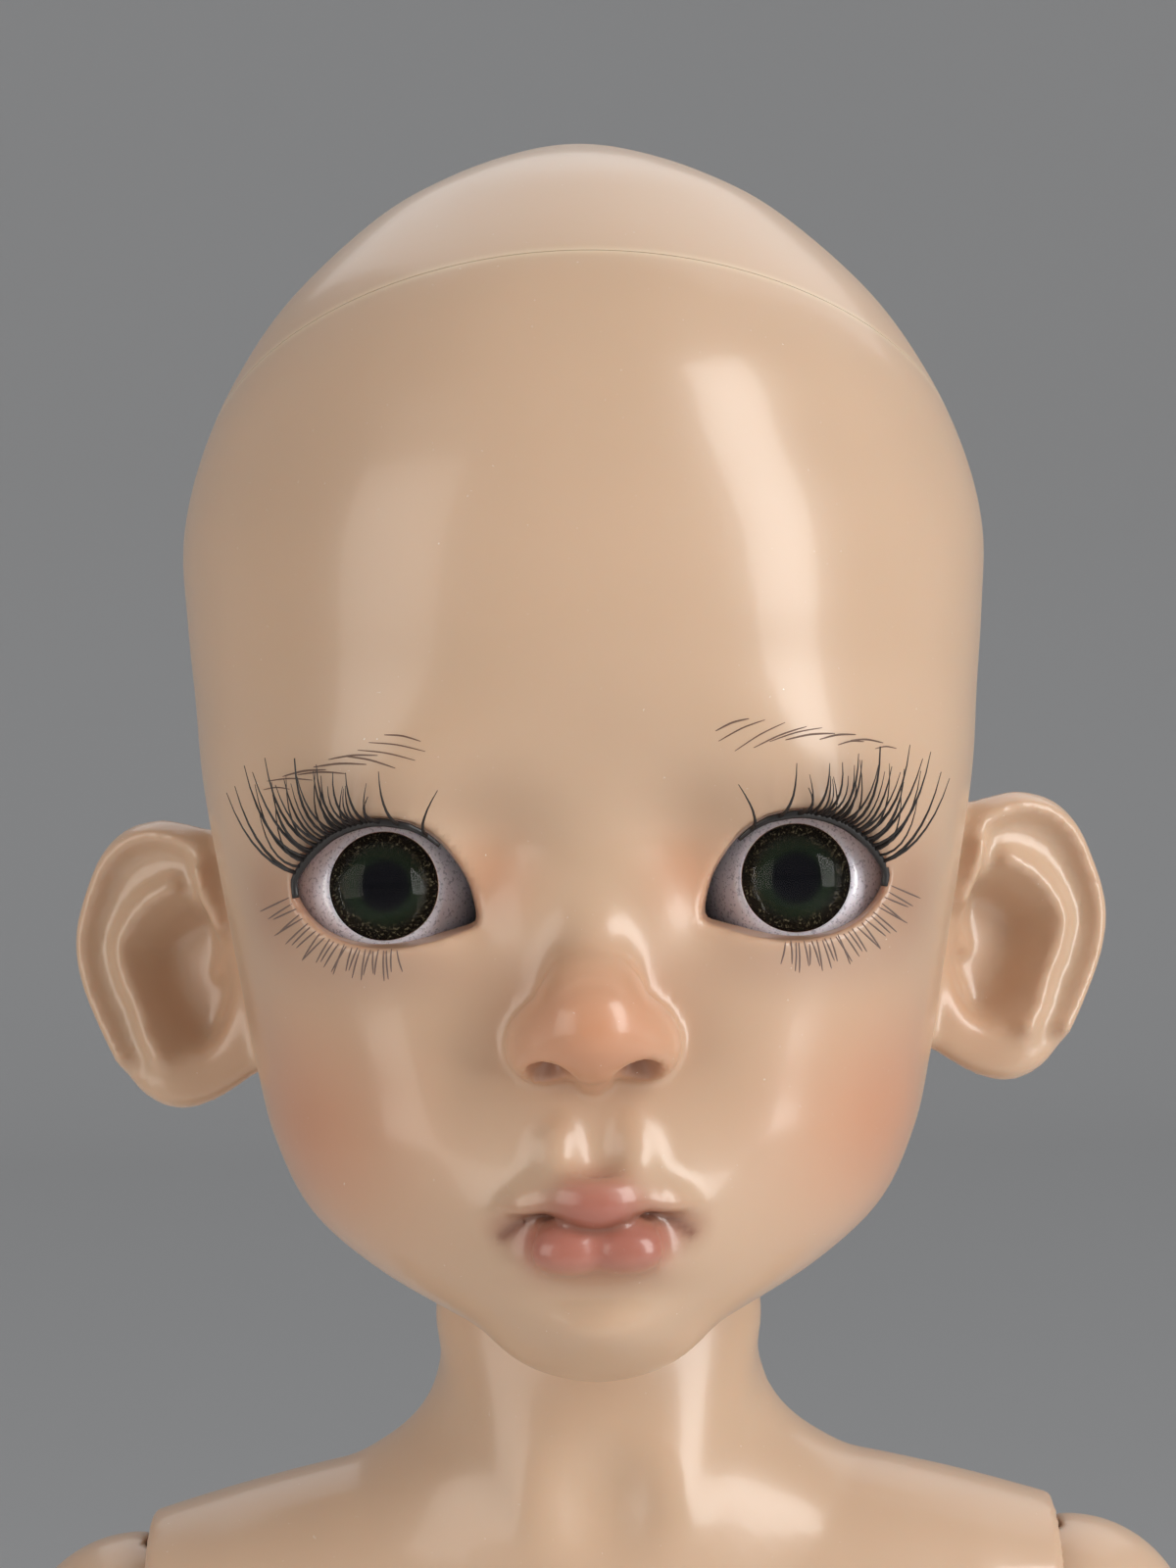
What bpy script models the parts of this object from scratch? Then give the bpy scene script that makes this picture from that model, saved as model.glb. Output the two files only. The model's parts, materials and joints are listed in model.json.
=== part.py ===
# A ball jointed doll, built as it is strung: hollow cast shells, double-jointed
# elbows and knees, elastic cord and wire hooks inside, set eyes and a magnetic
# head cap. Metres, +Z up. The doll stands on its soles and faces -Y, so its
# own left side is at +X. "side" is +1 for its left and -1 for its right.

import math

import bmesh
import bpy
from mathutils import Matrix, Vector

MM = 0.001

# Heights of the pivots, one above the other
ANKLE_HEIGHT = 26.0 * MM
SHIN_LENGTH = 86.0 * MM
THIGH_LENGTH = 86.0 * MM
HIP_TO_WAIST = 51.0 * MM
WAIST_TO_SHOULDER = 76.5 * MM
SHOULDER_TO_CHIN = 24.9 * MM
UPPER_ARM_LENGTH = 63.5 * MM
FOREARM_LENGTH = 57.0 * MM

# Places across and along the doll
BODY_AXIS_Y = 6.0 * MM
SHOULDER_X = 35.4 * MM
HIP_X = 16.5 * MM

# The arms hang a little away from the body at rest
ARM_LEAN = math.radians(12.0)

# Clearances and shared small sizes
JOINT_GAP = 0.3 * MM
SEAM_GAP = 0.3 * MM
CUT_OVERRUN = 3.0 * MM
ELASTIC_RADIUS = 1.1 * MM
CHANNEL_RADIUS = 2.2 * MM
WIRE_RADIUS = 0.7 * MM

# Head
HEAD_HEIGHT = 89.6 * MM
HEAD_HALF_WIDTH = 30.1 * MM
HEAD_HALF_DEPTH = 34.3 * MM
HEAD_FORWARD = 1.0 * MM
HEAD_WALL = 4.5 * MM
SEAM_BELOW_CROWN = 11.5 * MM
SEAM_SLOPE = math.radians(25.0)
SEAM_FRONT_DEPTH = 27.6 * MM
HEAD_FLOOR_HEIGHT = 16.4 * MM
MAGNET_RADIUS = 1.2 * MM
MAGNET_THICKNESS = 1.5 * MM

# Eyes, measured from the head's own centre line
EYE_X = 14.4 * MM
EYE_DEPTH = 19.4 * MM
EYE_RADIUS = 7.8 * MM
EYE_OPENING_WIDTH = 13.0 * MM
EYE_OPENING_HEIGHT = 8.5 * MM
LID_FLARE = 1.2 * MM
IRIS_RADIUS = 3.7 * MM
IRIS_PLANE = 6.7 * MM
IRIS_THICKNESS = 0.6 * MM
CORNEA_RADIUS = 4.1 * MM
CORNEA_RISE = 1.7 * MM
EYE_BACK_PLANE = 3.6 * MM
PUTTY_RADIUS = 6.0 * MM
PUTTY_THICKNESS = 0.9 * MM
LASH_LENGTH = 4.6 * MM
LASH_ROOT_DEPTH = 0.75 * MM
LASH_REACH = 3.7 * MM
LASH_THICKNESS = 0.3 * MM
LASH_COUNT = 8

# Mouth
MOUTH_HALF_WIDTH = 6.4 * MM

# Ears: where their root stands from the head's centre line, and their reach from it
EAR_X = 29.6 * MM
EAR_Y = 4.0 * MM
EAR_REACH = 11.1 * MM
EAR_HALF_HEIGHT = 11.2 * MM
EAR_HALF_THICKNESS = 3.4 * MM
EAR_TURN = math.radians(16.0)
EAR_FOLD_RADIUS = 0.95 * MM
CONCHA_HALF_WIDTH = 3.5 * MM
CONCHA_HALF_HEIGHT = 5.6 * MM
CONCHA_DEPTH = 2.1 * MM

# Neck
NECK_RADIUS = 11.7 * MM
NECK_BALL_RADIUS = 13.0 * MM
NECK_PIVOT_BELOW_CHIN = 1.0 * MM
NECK_HOLE_RADIUS = 4.9 * MM
HEAD_TILT = math.radians(12.0)
NECK_HOOK_REACH = 6.5 * MM
NECK_HOOK_DROP = 4.0 * MM

# Torso
CHEST_HALF_WIDTH = 25.5 * MM
CHEST_HALF_DEPTH = 14.0 * MM
WAIST_BALL_RADIUS = 16.0 * MM
WAIST_RIM_ABOVE_PIVOT = 4.0 * MM
CHEST_HOLLOW_RADIUS = 8.5 * MM
WAIST_CORD_REACH = 21.0 * MM
WAIST_CORD_SPREAD = 1.2 * MM
YOKE_HALF_WIDTH = 34.2 * MM
YOKE_END_RADIUS = 10.9 * MM
YOKE_ROOF_RISE = 6.0 * MM
PELVIS_HALF_WIDTH = 27.2 * MM
PELVIS_HALF_DEPTH = 15.8 * MM
PELVIS_BELOW_HIP = 12.0 * MM
PELVIS_HOLLOW_HALF_WIDTH = 19.0 * MM

# Arms
SHOULDER_BALL_RADIUS = 9.4 * MM
SHOULDER_NECK_RADIUS = 5.8 * MM
SHOULDER_TWIST = math.radians(30.0)
UPPER_ARM_RADIUS = 8.2 * MM
ELBOW_BALL_RADIUS = 6.0 * MM
ELBOW_HALF_SPAN = 4.5 * MM
ELBOW_RIM_HIGH = 3.5 * MM
ELBOW_RIM_LOW = 2.4 * MM
ELBOW_END_RADIUS = 7.6 * MM
FOREARM_RADIUS = 7.5 * MM
WRIST_END_RADIUS = 5.6 * MM
WRIST_BALL_RADIUS = 4.6 * MM
WRIST_NECK_RADIUS = 3.2 * MM
WRIST_RIM = 0.8 * MM

# Hands
PALM_LENGTH = 18.0 * MM
PALM_START = 5.6 * MM
PALM_HALF_WIDTH = 7.4 * MM
PALM_HALF_THICKNESS = 3.3 * MM
FINGER_RADIUS = 1.75 * MM
FINGER_LENGTH = 16.5 * MM
THUMB_LENGTH = 12.5 * MM
THUMB_RADIUS = 2.0 * MM

# Legs
HIP_BALL_RADIUS = 12.5 * MM
HIP_NECK_RADIUS = 7.6 * MM
HIP_BACK_SWING = math.radians(15.0)
HIP_RAISE = math.radians(30.0)
HIP_FLARE_RADIUS = 5.75 * MM
THIGH_RADIUS = 12.2 * MM
KNEE_BALL_RADIUS = 8.4 * MM
KNEE_HALF_SPAN = 6.5 * MM
KNEE_RIM_HIGH = 5.0 * MM
KNEE_RIM_LOW = 3.2 * MM
KNEE_END_RADIUS = 10.9 * MM
CALF_RADIUS = 10.8 * MM
ANKLE_END_RADIUS = 8.9 * MM
ANKLE_BALL_RADIUS = 7.4 * MM
ANKLE_NECK_RADIUS = 5.6 * MM
ANKLE_RIM = 1.6 * MM

# Feet
FOOT_TOE_REACH = 44.5 * MM
FOOT_HEEL_REACH = 15.5 * MM
FOOT_HALF_WIDTH = 11.6 * MM
FOOT_HEIGHT = 18.5 * MM
TOE_RADIUS = 3.0 * MM

# Pivots worked out from the sizes above
ANKLE_Z = ANKLE_HEIGHT
KNEE_Z = ANKLE_Z + SHIN_LENGTH
HIP_Z = KNEE_Z + THIGH_LENGTH
WAIST_Z = HIP_Z + HIP_TO_WAIST
SHOULDER_Z = WAIST_Z + WAIST_TO_SHOULDER
CHIN_Z = SHOULDER_Z + SHOULDER_TO_CHIN
NECK_Z = CHIN_Z - NECK_PIVOT_BELOW_CHIN
ELBOW_Z = SHOULDER_Z - UPPER_ARM_LENGTH
WRIST_Z = ELBOW_Z - FOREARM_LENGTH
HEAD_Y = BODY_AXIS_Y - HEAD_FORWARD

# Levels of the face as shares of the head's height
EYE_LEVEL_SHARE = 0.3806
EAR_LEVEL_SHARE = 0.3140
EYE_HEIGHT = EYE_LEVEL_SHARE * HEAD_HEIGHT
EAR_HEIGHT = EAR_LEVEL_SHARE * HEAD_HEIGHT
SEAM_FRONT_HEIGHT = HEAD_HEIGHT - SEAM_BELOW_CROWN

SHARP_ANGLE = math.radians(40.0)

# Facets of round pieces
LIMB_SIDES = 12
TORSO_SIDES = 16
BALL_SIDES = 12
BALL_RINGS = 8
SOCKET_SIDES = 12
SOCKET_RINGS = 8
CHANNEL_SIDES = 8
FOOT_ARCH_STEPS = 10
NOTCH_STEPS = 6

# Points nearer the axis than this share of a radius lie on it
ON_AXIS_SHARE = 0.001

PARTS = None
CUTTERS = None


# Scene and materials

def clear_scene():
    for thing in list(bpy.data.objects):
        bpy.data.objects.remove(thing, do_unlink=True)


def new_collection(name):
    group = bpy.data.collections.new(name)
    bpy.context.scene.collection.children.link(group)
    return group


def material(name, colour, roughness, metallic=0.0):
    made = bpy.data.materials.get(name)
    if made is None:
        made = bpy.data.materials.new(name)
        made.use_nodes = True
        shader = made.node_tree.nodes["Principled BSDF"]
        shader.inputs["Base Color"].default_value = (*colour, 1.0)
        shader.inputs["Roughness"].default_value = roughness
        shader.inputs["Metallic"].default_value = metallic
    return made


def resin():
    return material("cast_resin", (0.62, 0.42, 0.28), 0.32)


def glass_white():
    return material("eye_white", (0.62, 0.66, 0.74), 0.12)


def iris_dark():
    return material("iris_dark", (0.02, 0.04, 0.03), 0.25)


def glass_clear():
    made = material("eye_glass", (0.9, 0.93, 0.95), 0.03)
    made.node_tree.nodes["Principled BSDF"].inputs["Transmission Weight"].default_value = 1.0
    return made


def lash_black():
    return material("lash_black", (0.01, 0.01, 0.01), 0.5)


def putty():
    return material("eye_putty", (0.8, 0.78, 0.74), 0.7)


def elastic():
    return material("elastic", (0.85, 0.84, 0.8), 0.8)


def steel():
    return material("wire_steel", (0.62, 0.62, 0.63), 0.25, 1.0)


def magnet_metal():
    return material("magnet", (0.5, 0.5, 0.52), 0.3, 1.0)


def smooth_by_angle():
    """A last step for every piece: smooth shading, broken at its sharp edges."""
    group = bpy.data.node_groups.new("smooth_by_angle", "GeometryNodeTree")
    for way in ("INPUT", "OUTPUT"):
        group.interface.new_socket("Geometry", in_out=way, socket_type="NodeSocketGeometry")
    entry = group.nodes.new("NodeGroupInput")
    leave = group.nodes.new("NodeGroupOutput")
    bend = group.nodes.new("GeometryNodeInputMeshEdgeAngle")
    sharp = group.nodes.new("FunctionNodeCompare")
    sharp.operation = "GREATER_THAN"
    sharp.inputs[1].default_value = SHARP_ANGLE
    faces = group.nodes.new("GeometryNodeSetShadeSmooth")
    edges = group.nodes.new("GeometryNodeSetShadeSmooth")
    edges.domain = "EDGE"
    edges.inputs["Shade Smooth"].default_value = False
    group.links.new(entry.outputs[0], faces.inputs["Geometry"])
    group.links.new(faces.outputs[0], edges.inputs["Geometry"])
    group.links.new(bend.outputs["Unsigned Angle"], sharp.inputs[0])
    group.links.new(sharp.outputs[0], edges.inputs["Selection"])
    group.links.new(edges.outputs[0], leave.inputs[0])
    for piece in PARTS.objects:
        if piece.type == "MESH":
            piece.modifiers.new("smooth_by_angle", "NODES").node_group = group


# Mesh building

def mesh_from(name, vertices, faces):
    mesh = bpy.data.meshes.new(name)
    mesh.from_pydata([tuple(v) for v in vertices], [], faces)
    work = bmesh.new()
    work.from_mesh(mesh)
    bmesh.ops.recalc_face_normals(work, faces=work.faces)
    work.to_mesh(mesh)
    work.free()
    return mesh


def loft_mesh(name, rings):
    """A closed skin through rings of points; a ring of one point is a pole."""
    vertices = []
    starts = []
    for ring in rings:
        starts.append(len(vertices))
        vertices.extend(ring)
    faces = []
    for row in range(len(rings) - 1):
        low, high = rings[row], rings[row + 1]
        count = max(len(low), len(high))
        for i in range(count):
            j = (i + 1) % count
            corners = []
            if len(low) == 1:
                corners = [starts[row], starts[row + 1] + j, starts[row + 1] + i]
            elif len(high) == 1:
                corners = [starts[row] + i, starts[row] + j, starts[row + 1]]
            else:
                corners = [starts[row] + i, starts[row] + j, starts[row + 1] + j, starts[row + 1] + i]
            faces.append(corners)
    for row in (0, len(rings) - 1):
        if len(rings[row]) > 1:
            faces.append([starts[row] + i for i in range(len(rings[row]))])
    return mesh_from(name, vertices, faces)


def add_mesh(name, mesh, finish, group=None):
    made = bpy.data.objects.new(name, mesh)
    (group or PARTS).objects.link(made)
    mesh.materials.clear()
    mesh.materials.append(finish)
    return made


def as_tool(name, mesh):
    """A cutter or a piece to be joined: it shapes other objects and isn't one itself."""
    made = bpy.data.objects.new(name, mesh)
    CUTTERS.objects.link(made)
    made.hide_render = True
    made.display_type = "WIRE"
    return made


def shape(target, tool, operation="DIFFERENCE"):
    step = target.modifiers.new(tool.name, "BOOLEAN")
    step.solver = "EXACT"
    step.operation = operation
    step.object = tool
    return step


def move_mesh(mesh, centre, turn=None):
    mesh.transform(Matrix.Translation(centre) @ (turn.to_4x4() if turn else Matrix.Identity(4)))
    return mesh


def sphere_mesh(name, centre, radii, sides=BALL_SIDES, rings=BALL_RINGS, turn=None):
    work = bmesh.new()
    bmesh.ops.create_uvsphere(work, u_segments=sides, v_segments=rings, radius=1.0)
    mesh = bpy.data.meshes.new(name)
    work.to_mesh(mesh)
    work.free()
    if not isinstance(radii, (tuple, list)):
        radii = (radii, radii, radii)
    mesh.transform(Matrix.Diagonal((*radii, 1.0)))
    return move_mesh(mesh, centre, turn)


def socket_mesh(name, centre, ball_radius, sides=SOCKET_SIDES, rings=SOCKET_RINGS):
    """A hollow for a ball, with facets that all stay the joint's gap clear of it."""
    clear = (ball_radius + JOINT_GAP) / math.cos(math.pi / sides) / math.cos(math.pi / 2 / rings)
    return sphere_mesh(name, centre, clear, sides, rings)


def cylinder_mesh(name, start, end, radius, end_radius=None, sides=LIMB_SIDES):
    start, end = Vector(start), Vector(end)
    along = end - start
    work = bmesh.new()
    bmesh.ops.create_cone(
        work, cap_ends=True, segments=sides, radius1=radius,
        radius2=radius if end_radius is None else end_radius, depth=along.length)
    mesh = bpy.data.meshes.new(name)
    work.to_mesh(mesh)
    work.free()
    return move_mesh(mesh, (start + end) / 2, along.to_track_quat("Z", "Y").to_matrix())


def box_mesh(name, low, high, turn=None, about=None):
    low, high = Vector(low), Vector(high)
    size = high - low
    work = bmesh.new()
    bmesh.ops.create_cube(work, size=1.0)
    mesh = bpy.data.meshes.new(name)
    work.to_mesh(mesh)
    work.free()
    mesh.transform(Matrix.Diagonal((*size, 1.0)))
    move_mesh(mesh, (low + high) / 2)
    if turn:
        pivot = Vector(about)
        mesh.transform(Matrix.Translation(pivot) @ turn.to_4x4() @ Matrix.Translation(-pivot))
    return mesh


WELD_SHARE = 0.01


def tube_mesh(name, points, radius, radii_shares=None, resolution=2):
    """A round bar along points, from a bevelled curve with filled caps."""
    curve = bpy.data.curves.new(name, "CURVE")
    curve.dimensions = "3D"
    curve.bevel_depth = radius
    curve.bevel_resolution = resolution
    curve.use_fill_caps = True
    spline = curve.splines.new("POLY")
    spline.points.add(len(points) - 1)
    for i, point in enumerate(points):
        spline.points[i].co = (*point, 1.0)
        spline.points[i].radius = radii_shares[i] if radii_shares else 1.0
    holder = bpy.data.objects.new(name + "_curve", curve)
    bpy.context.scene.collection.objects.link(holder)
    bpy.context.view_layer.update()
    graph = bpy.context.evaluated_depsgraph_get()
    mesh = bpy.data.meshes.new_from_object(holder.evaluated_get(graph))
    bpy.data.objects.remove(holder, do_unlink=True)
    work = bmesh.new()
    work.from_mesh(mesh)
    bmesh.ops.remove_doubles(work, verts=work.verts, dist=radius * WELD_SHARE)
    bmesh.ops.recalc_face_normals(work, faces=work.faces)
    work.to_mesh(mesh)
    work.free()
    mesh.name = name
    return mesh


# Smooth curves and rings

def catmull(rows, place):
    """The row at a fractional place along rows, on a smooth curve through them."""
    last = len(rows) - 1
    i = min(int(place), last - 1)
    t = place - i
    before, here, there, after = (rows[max(i - 1, 0)], rows[i], rows[i + 1], rows[min(i + 2, last)])
    mixed = []
    for a, b, c, d in zip(before, here, there, after):
        mixed.append(0.5 * (2 * b + (c - a) * t + (2 * a - 5 * b + 4 * c - d) * t * t
                            + (3 * b - a - 3 * c + d) * t ** 3))
    return tuple(mixed)


def limb_rings(x, y, stations, sides=LIMB_SIDES):
    """Rings across a limb; a station is (height, half width, front reach, back reach)."""
    rings = []
    for height, half_width, front, back in stations:
        if half_width <= 0:
            rings.append([Vector((x, y, height))])
            continue
        ring = []
        for i in range(sides):
            turn = 2 * math.pi * i / sides
            reach = front if math.cos(turn) > 0 else back
            ring.append(Vector((x + half_width * math.sin(turn), y - reach * math.cos(turn), height)))
        rings.append(ring)
    return rings


def ball_stations(height, radius, start, end, steps):
    """Stations down a ball from one angle below its top to another."""
    made = []
    for i in range(steps + 1):
        angle = start + (end - start) * i / steps
        across = radius * math.sin(angle)
        across = 0.0 if across < radius * ON_AXIS_SHARE else across
        made.append((height + radius * math.cos(angle), across, across, across))
    return made


def pivot_at(side, x, height):
    return Vector((side * x, BODY_AXIS_Y, height))


# Head

# Rows of the head's outline from chin to crown. Shares of the head's height,
# of its half width, then of its half depth: centre, front and back, and the
# squareness of the section, where 2 is an oval.
HEAD_ROW_SHARES = (
    (0.000, 0.00, -0.680, -0.680, -0.680, 2.0),
    (0.012, 0.18, -0.630, -0.765, -0.430, 2.0),
    (0.036, 0.345, -0.500, -0.812, -0.180, 2.0),
    (0.070, 0.545, -0.330, -0.840, 0.070, 2.1),
    (0.112, 0.705, -0.170, -0.852, 0.265, 2.2),
    (0.167, 0.795, -0.060, -0.855, 0.410, 2.3),
    (0.223, 0.840, 0.000, -0.852, 0.520, 2.4),
    (0.312, 0.878, 0.000, -0.855, 0.650, 3.0),
    (0.391, 0.917, 0.000, -0.875, 0.760, 3.1),
    (0.465, 0.955, 0.000, -0.935, 0.860, 2.8),
    (0.532, 0.975, 0.000, -0.995, 0.925, 2.4),
    (0.598, 0.992, 0.000, -1.030, 0.960, 2.3),
    (0.665, 1.000, 0.000, -1.032, 0.968, 2.2),
    (0.731, 0.980, 0.000, -1.003, 0.950, 2.1),
    (0.798, 0.917, 0.000, -0.942, 0.903, 2.1),
    (0.865, 0.807, 0.000, -0.825, 0.816, 2.0),
    (0.931, 0.611, 0.000, -0.621, 0.641, 2.0),
    (0.967, 0.445, 0.000, -0.452, 0.466, 2.0),
    (0.992, 0.232, 0.000, -0.233, 0.248, 2.0),
    (1.000, 0.000, 0.000, 0.000, 0.000, 2.0),
)
HEAD_ROW_STEPS = (1, 1, 1, 2, 2, 2, 2, 2, 2, 1, 1, 1, 1, 1, 1, 2, 1, 1, 1)
HEAD_COLUMNS = 30
HEAD_COLUMN_CROWDING = 1.3

# Soft swells of the face that stand out of the outline, or sink in. Shares of
# the head's half width across, of its height up, of its half depth out, then
# the spread across and up in the same shares.
FACE_SHARES = (
    (0.000, 0.320, 0.130, 0.120, 0.060),
    (0.235, 0.415, -0.055, 0.140, 0.042),
    (0.500, 0.385, 0.055, 0.330, 0.075),
    (0.500, 0.490, 0.020, 0.270, 0.040),
    (0.520, 0.205, 0.055, 0.250, 0.085),
    (0.000, 0.123, 0.085, 0.270, 0.062),
    (0.000, 0.066, -0.022, 0.200, 0.024),
    (0.000, 0.030, 0.022, 0.190, 0.036),
)

# The nose from its base up to its bridge: shares of the head's height, of its
# half width to each side, and of its half depth forward.
NOSE_ROW_SHARES = (
    (0.221, 0.090, 0.900), (0.229, 0.135, 0.985), (0.242, 0.168, 1.040), (0.260, 0.176, 1.060),
    (0.278, 0.170, 1.046), (0.298, 0.155, 1.012), (0.320, 0.138, 0.978), (0.345, 0.120, 0.945),
    (0.375, 0.095, 0.912), (0.405, 0.060, 0.875),
)
NOSE_ROOT_SHARE = 0.80
NOSE_SIDES = 14

# The rounds of the nose's tip and wings: shares across, up and forward, then
# the half sizes in the same shares.
NOSE_TIP_SHARES = (0.000, 0.258, 0.935, 0.130, 0.036, 0.140)
NOSE_WING_SHARES = (0.128, 0.246, 0.905, 0.090, 0.029, 0.100)

# The lips from the middle of the mouth to its corner: shares of the mouth's
# half width, of the head's height up, of its half depth forward, then the
# lip's half height and half thickness in the same shares.
UPPER_LIP_SHARES = (
    (0.00, 0.1400, 0.915, 0.0170, 0.075), (0.30, 0.1425, 0.912, 0.0190, 0.075),
    (0.60, 0.1370, 0.885, 0.0150, 0.068), (0.85, 0.1300, 0.850, 0.0085, 0.055),
    (1.00, 0.1265, 0.825, 0.0020, 0.040),
)
LOWER_LIP_SHARES = (
    (0.00, 0.1040, 0.905, 0.0190, 0.072), (0.35, 0.1045, 0.900, 0.0200, 0.074),
    (0.65, 0.1100, 0.875, 0.0150, 0.068), (0.88, 0.1180, 0.845, 0.0075, 0.055),
    (1.00, 0.1225, 0.825, 0.0020, 0.040),
)
LIP_SIDES = 8


# The ear's edge from the top of its root round to its lobe, in shares of its
# reach outward and of its half height up.
EAR_EDGE_SHARES = (
    (-0.85, 0.66), (-0.45, 0.84), (-0.06, 0.92), (0.34, 1.00), (0.59, 0.94), (0.77, 0.78),
    (0.90, 0.53), (0.99, 0.28), (1.00, 0.05), (0.94, -0.17), (0.82, -0.43), (0.69, -0.65),
    (0.55, -0.85), (0.35, -0.97), (0.12, -1.00), (-0.20, -0.90), (-0.85, -0.70),
)
# Its rings from behind, over the rim and down into the dish: shares of the
# edge's size, and of the half thickness forward.
EAR_RING_SHARES = (
    (0.55, -0.85), (0.90, -0.55), (1.00, 0.05), (0.98, 0.60), (0.90, 0.86), (0.82, 0.60),
    (0.77, 0.10), (0.45, 0.00),
)
EAR_RING_MIDDLE_SHARE = 0.10
# The folds that stand in the dish, and the bowl between them
EAR_FOLD_SHARES = ((0.17, 0.50), (0.39, 0.41), (0.56, 0.23), (0.62, 0.00), (0.57, -0.27), (0.44, -0.52))
EAR_CRUS_SHARES = ((0.20, 0.80), (0.15, 0.49), (0.07, 0.22), (-0.04, -0.04))
EAR_FOLD_TAPER_SHARES = (0.8, 1.0, 1.0, 1.0, 0.9, 0.6)
EAR_CRUS_TAPER_SHARES = (1.0, 1.1, 1.0, 0.7)
EAR_FOLD_RISE_SHARE = 0.12
CONCHA_PLACE_SHARES = (0.20, -0.10, 0.08)


def face_relief(x, up):
    """How far the face stands forward of the head's plain outline at x, up."""
    out = 0.0
    for across, high, rise, wide, tall in FACE_SHARES:
        for sign in ((1,) if across == 0 else (-1, 1)):
            dx = (x - sign * across * HEAD_HALF_WIDTH) / (wide * HEAD_HALF_WIDTH)
            dz = (up - high * HEAD_HEIGHT) / (tall * HEAD_HEIGHT)
            out += rise * HEAD_HALF_DEPTH * math.exp(-dx * dx - dz * dz)
    return out


def head_ring(row, columns, crowding, relief):
    high, wide, centre, front, back, square = row
    up = high * HEAD_HEIGHT
    if wide <= 0:
        return [Vector((0, HEAD_Y + centre * HEAD_HALF_DEPTH, CHIN_Z + up))]
    ring = []
    for i in range(columns):
        u = 2 * i / columns - 1
        turn = math.pi * math.copysign(abs(u) ** crowding, u)
        s, c = math.sin(turn), math.cos(turn)
        reach = (abs(s) ** square + abs(c) ** square) ** (-1 / square)
        deep = (centre - front if c > 0 else back - centre) * HEAD_HALF_DEPTH
        x = wide * HEAD_HALF_WIDTH * reach * s
        y = centre * HEAD_HALF_DEPTH - deep * reach * c
        if relief and c > 0:
            y -= face_relief(x, up) * min(1.0, c * 2)
        ring.append(Vector((x, HEAD_Y + y, CHIN_Z + up)))
    return ring


def head_skin():
    rings = []
    for i, steps in enumerate(HEAD_ROW_STEPS):
        for k in range(steps):
            rings.append(head_ring(catmull(HEAD_ROW_SHARES, i + k / steps), HEAD_COLUMNS,
                                   HEAD_COLUMN_CROWDING, True))
    rings.append(head_ring(HEAD_ROW_SHARES[-1], HEAD_COLUMNS, HEAD_COLUMN_CROWDING, True))
    return rings


HOLLOW_COLUMNS = 14
HOLLOW_FIRST_ROW = 6


def nose_mesh():
    root = HEAD_Y - NOSE_ROOT_SHARE * HEAD_HALF_DEPTH
    rows = []
    for high, wide, out in NOSE_ROW_SHARES:
        reach = (out - NOSE_ROOT_SHARE) * HEAD_HALF_DEPTH
        rows.append((CHIN_Z + high * HEAD_HEIGHT, wide * HEAD_HALF_WIDTH, reach, reach / 2))
    return loft_mesh("nose", limb_rings(0, root, rows, NOSE_SIDES))


def nose_round(name, shares, side, sides, rings):
    across, high, out, wide, tall, deep = shares
    centre = Vector((side * across * HEAD_HALF_WIDTH, HEAD_Y - out * HEAD_HALF_DEPTH,
                     CHIN_Z + high * HEAD_HEIGHT))
    radii = (wide * HEAD_HALF_WIDTH, deep * HEAD_HALF_DEPTH, tall * HEAD_HEIGHT)
    return sphere_mesh(name, centre, radii, sides, rings)


def lip_mesh(name, half_shares):
    """A lip lofted across the mouth from one corner to the other."""
    mirrored = [(-row[0], *row[1:]) for row in reversed(half_shares[1:])]
    rings = []
    for across, high, out, tall, deep in mirrored + list(half_shares):
        ring = []
        for i in range(LIP_SIDES):
            turn = 2 * math.pi * i / LIP_SIDES
            ring.append(Vector((
                across * MOUTH_HALF_WIDTH,
                HEAD_Y - (out + deep * math.cos(turn)) * HEAD_HALF_DEPTH,
                CHIN_Z + (high + tall * math.sin(turn)) * HEAD_HEIGHT)))
        rings.append(ring)
    return loft_mesh(name, rings)


def head_hollow():
    """The space inside the head: the plain outline drawn in by the wall, on a flat floor."""
    narrow = 1 - HEAD_WALL / HEAD_HALF_WIDTH
    shallow = 1 - HEAD_WALL / HEAD_HALF_DEPTH
    rings = []
    floor = HEAD_FLOOR_HEIGHT / HEAD_HEIGHT
    roof = 1 - HEAD_WALL / HEAD_HEIGHT
    bottom = HEAD_ROW_SHARES[HOLLOW_FIRST_ROW][0]
    for row in HEAD_ROW_SHARES[HOLLOW_FIRST_ROW:]:
        high = floor + (row[0] - bottom) / (1 - bottom) * (roof - floor)
        inner = (high, row[1] * narrow, row[2], row[3] * shallow, row[4] * shallow, row[5])
        rings.append(head_ring(inner, HOLLOW_COLUMNS, 1.0, False))
    return rings


def ear_point(side, shares, forward_share):
    """A place on the ear, turned with it: outward and up in shares, then forward."""
    out, up = shares
    place = Vector((side * out * EAR_REACH, -forward_share * EAR_HALF_THICKNESS, up * EAR_HALF_HEIGHT))
    turn = Matrix.Rotation(side * EAR_TURN, 3, "Z")
    return Vector((side * EAR_X, HEAD_Y + EAR_Y, CHIN_Z + EAR_HEIGHT)) + turn @ place


def ear_mesh(side):
    rings = []
    for size, forward in EAR_RING_SHARES:
        middle = EAR_RING_MIDDLE_SHARE * (1 - size)
        rings.append([ear_point(side, (middle + size * out, size * up), forward)
                      for out, up in EAR_EDGE_SHARES])
    return loft_mesh("ear", rings)


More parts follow.
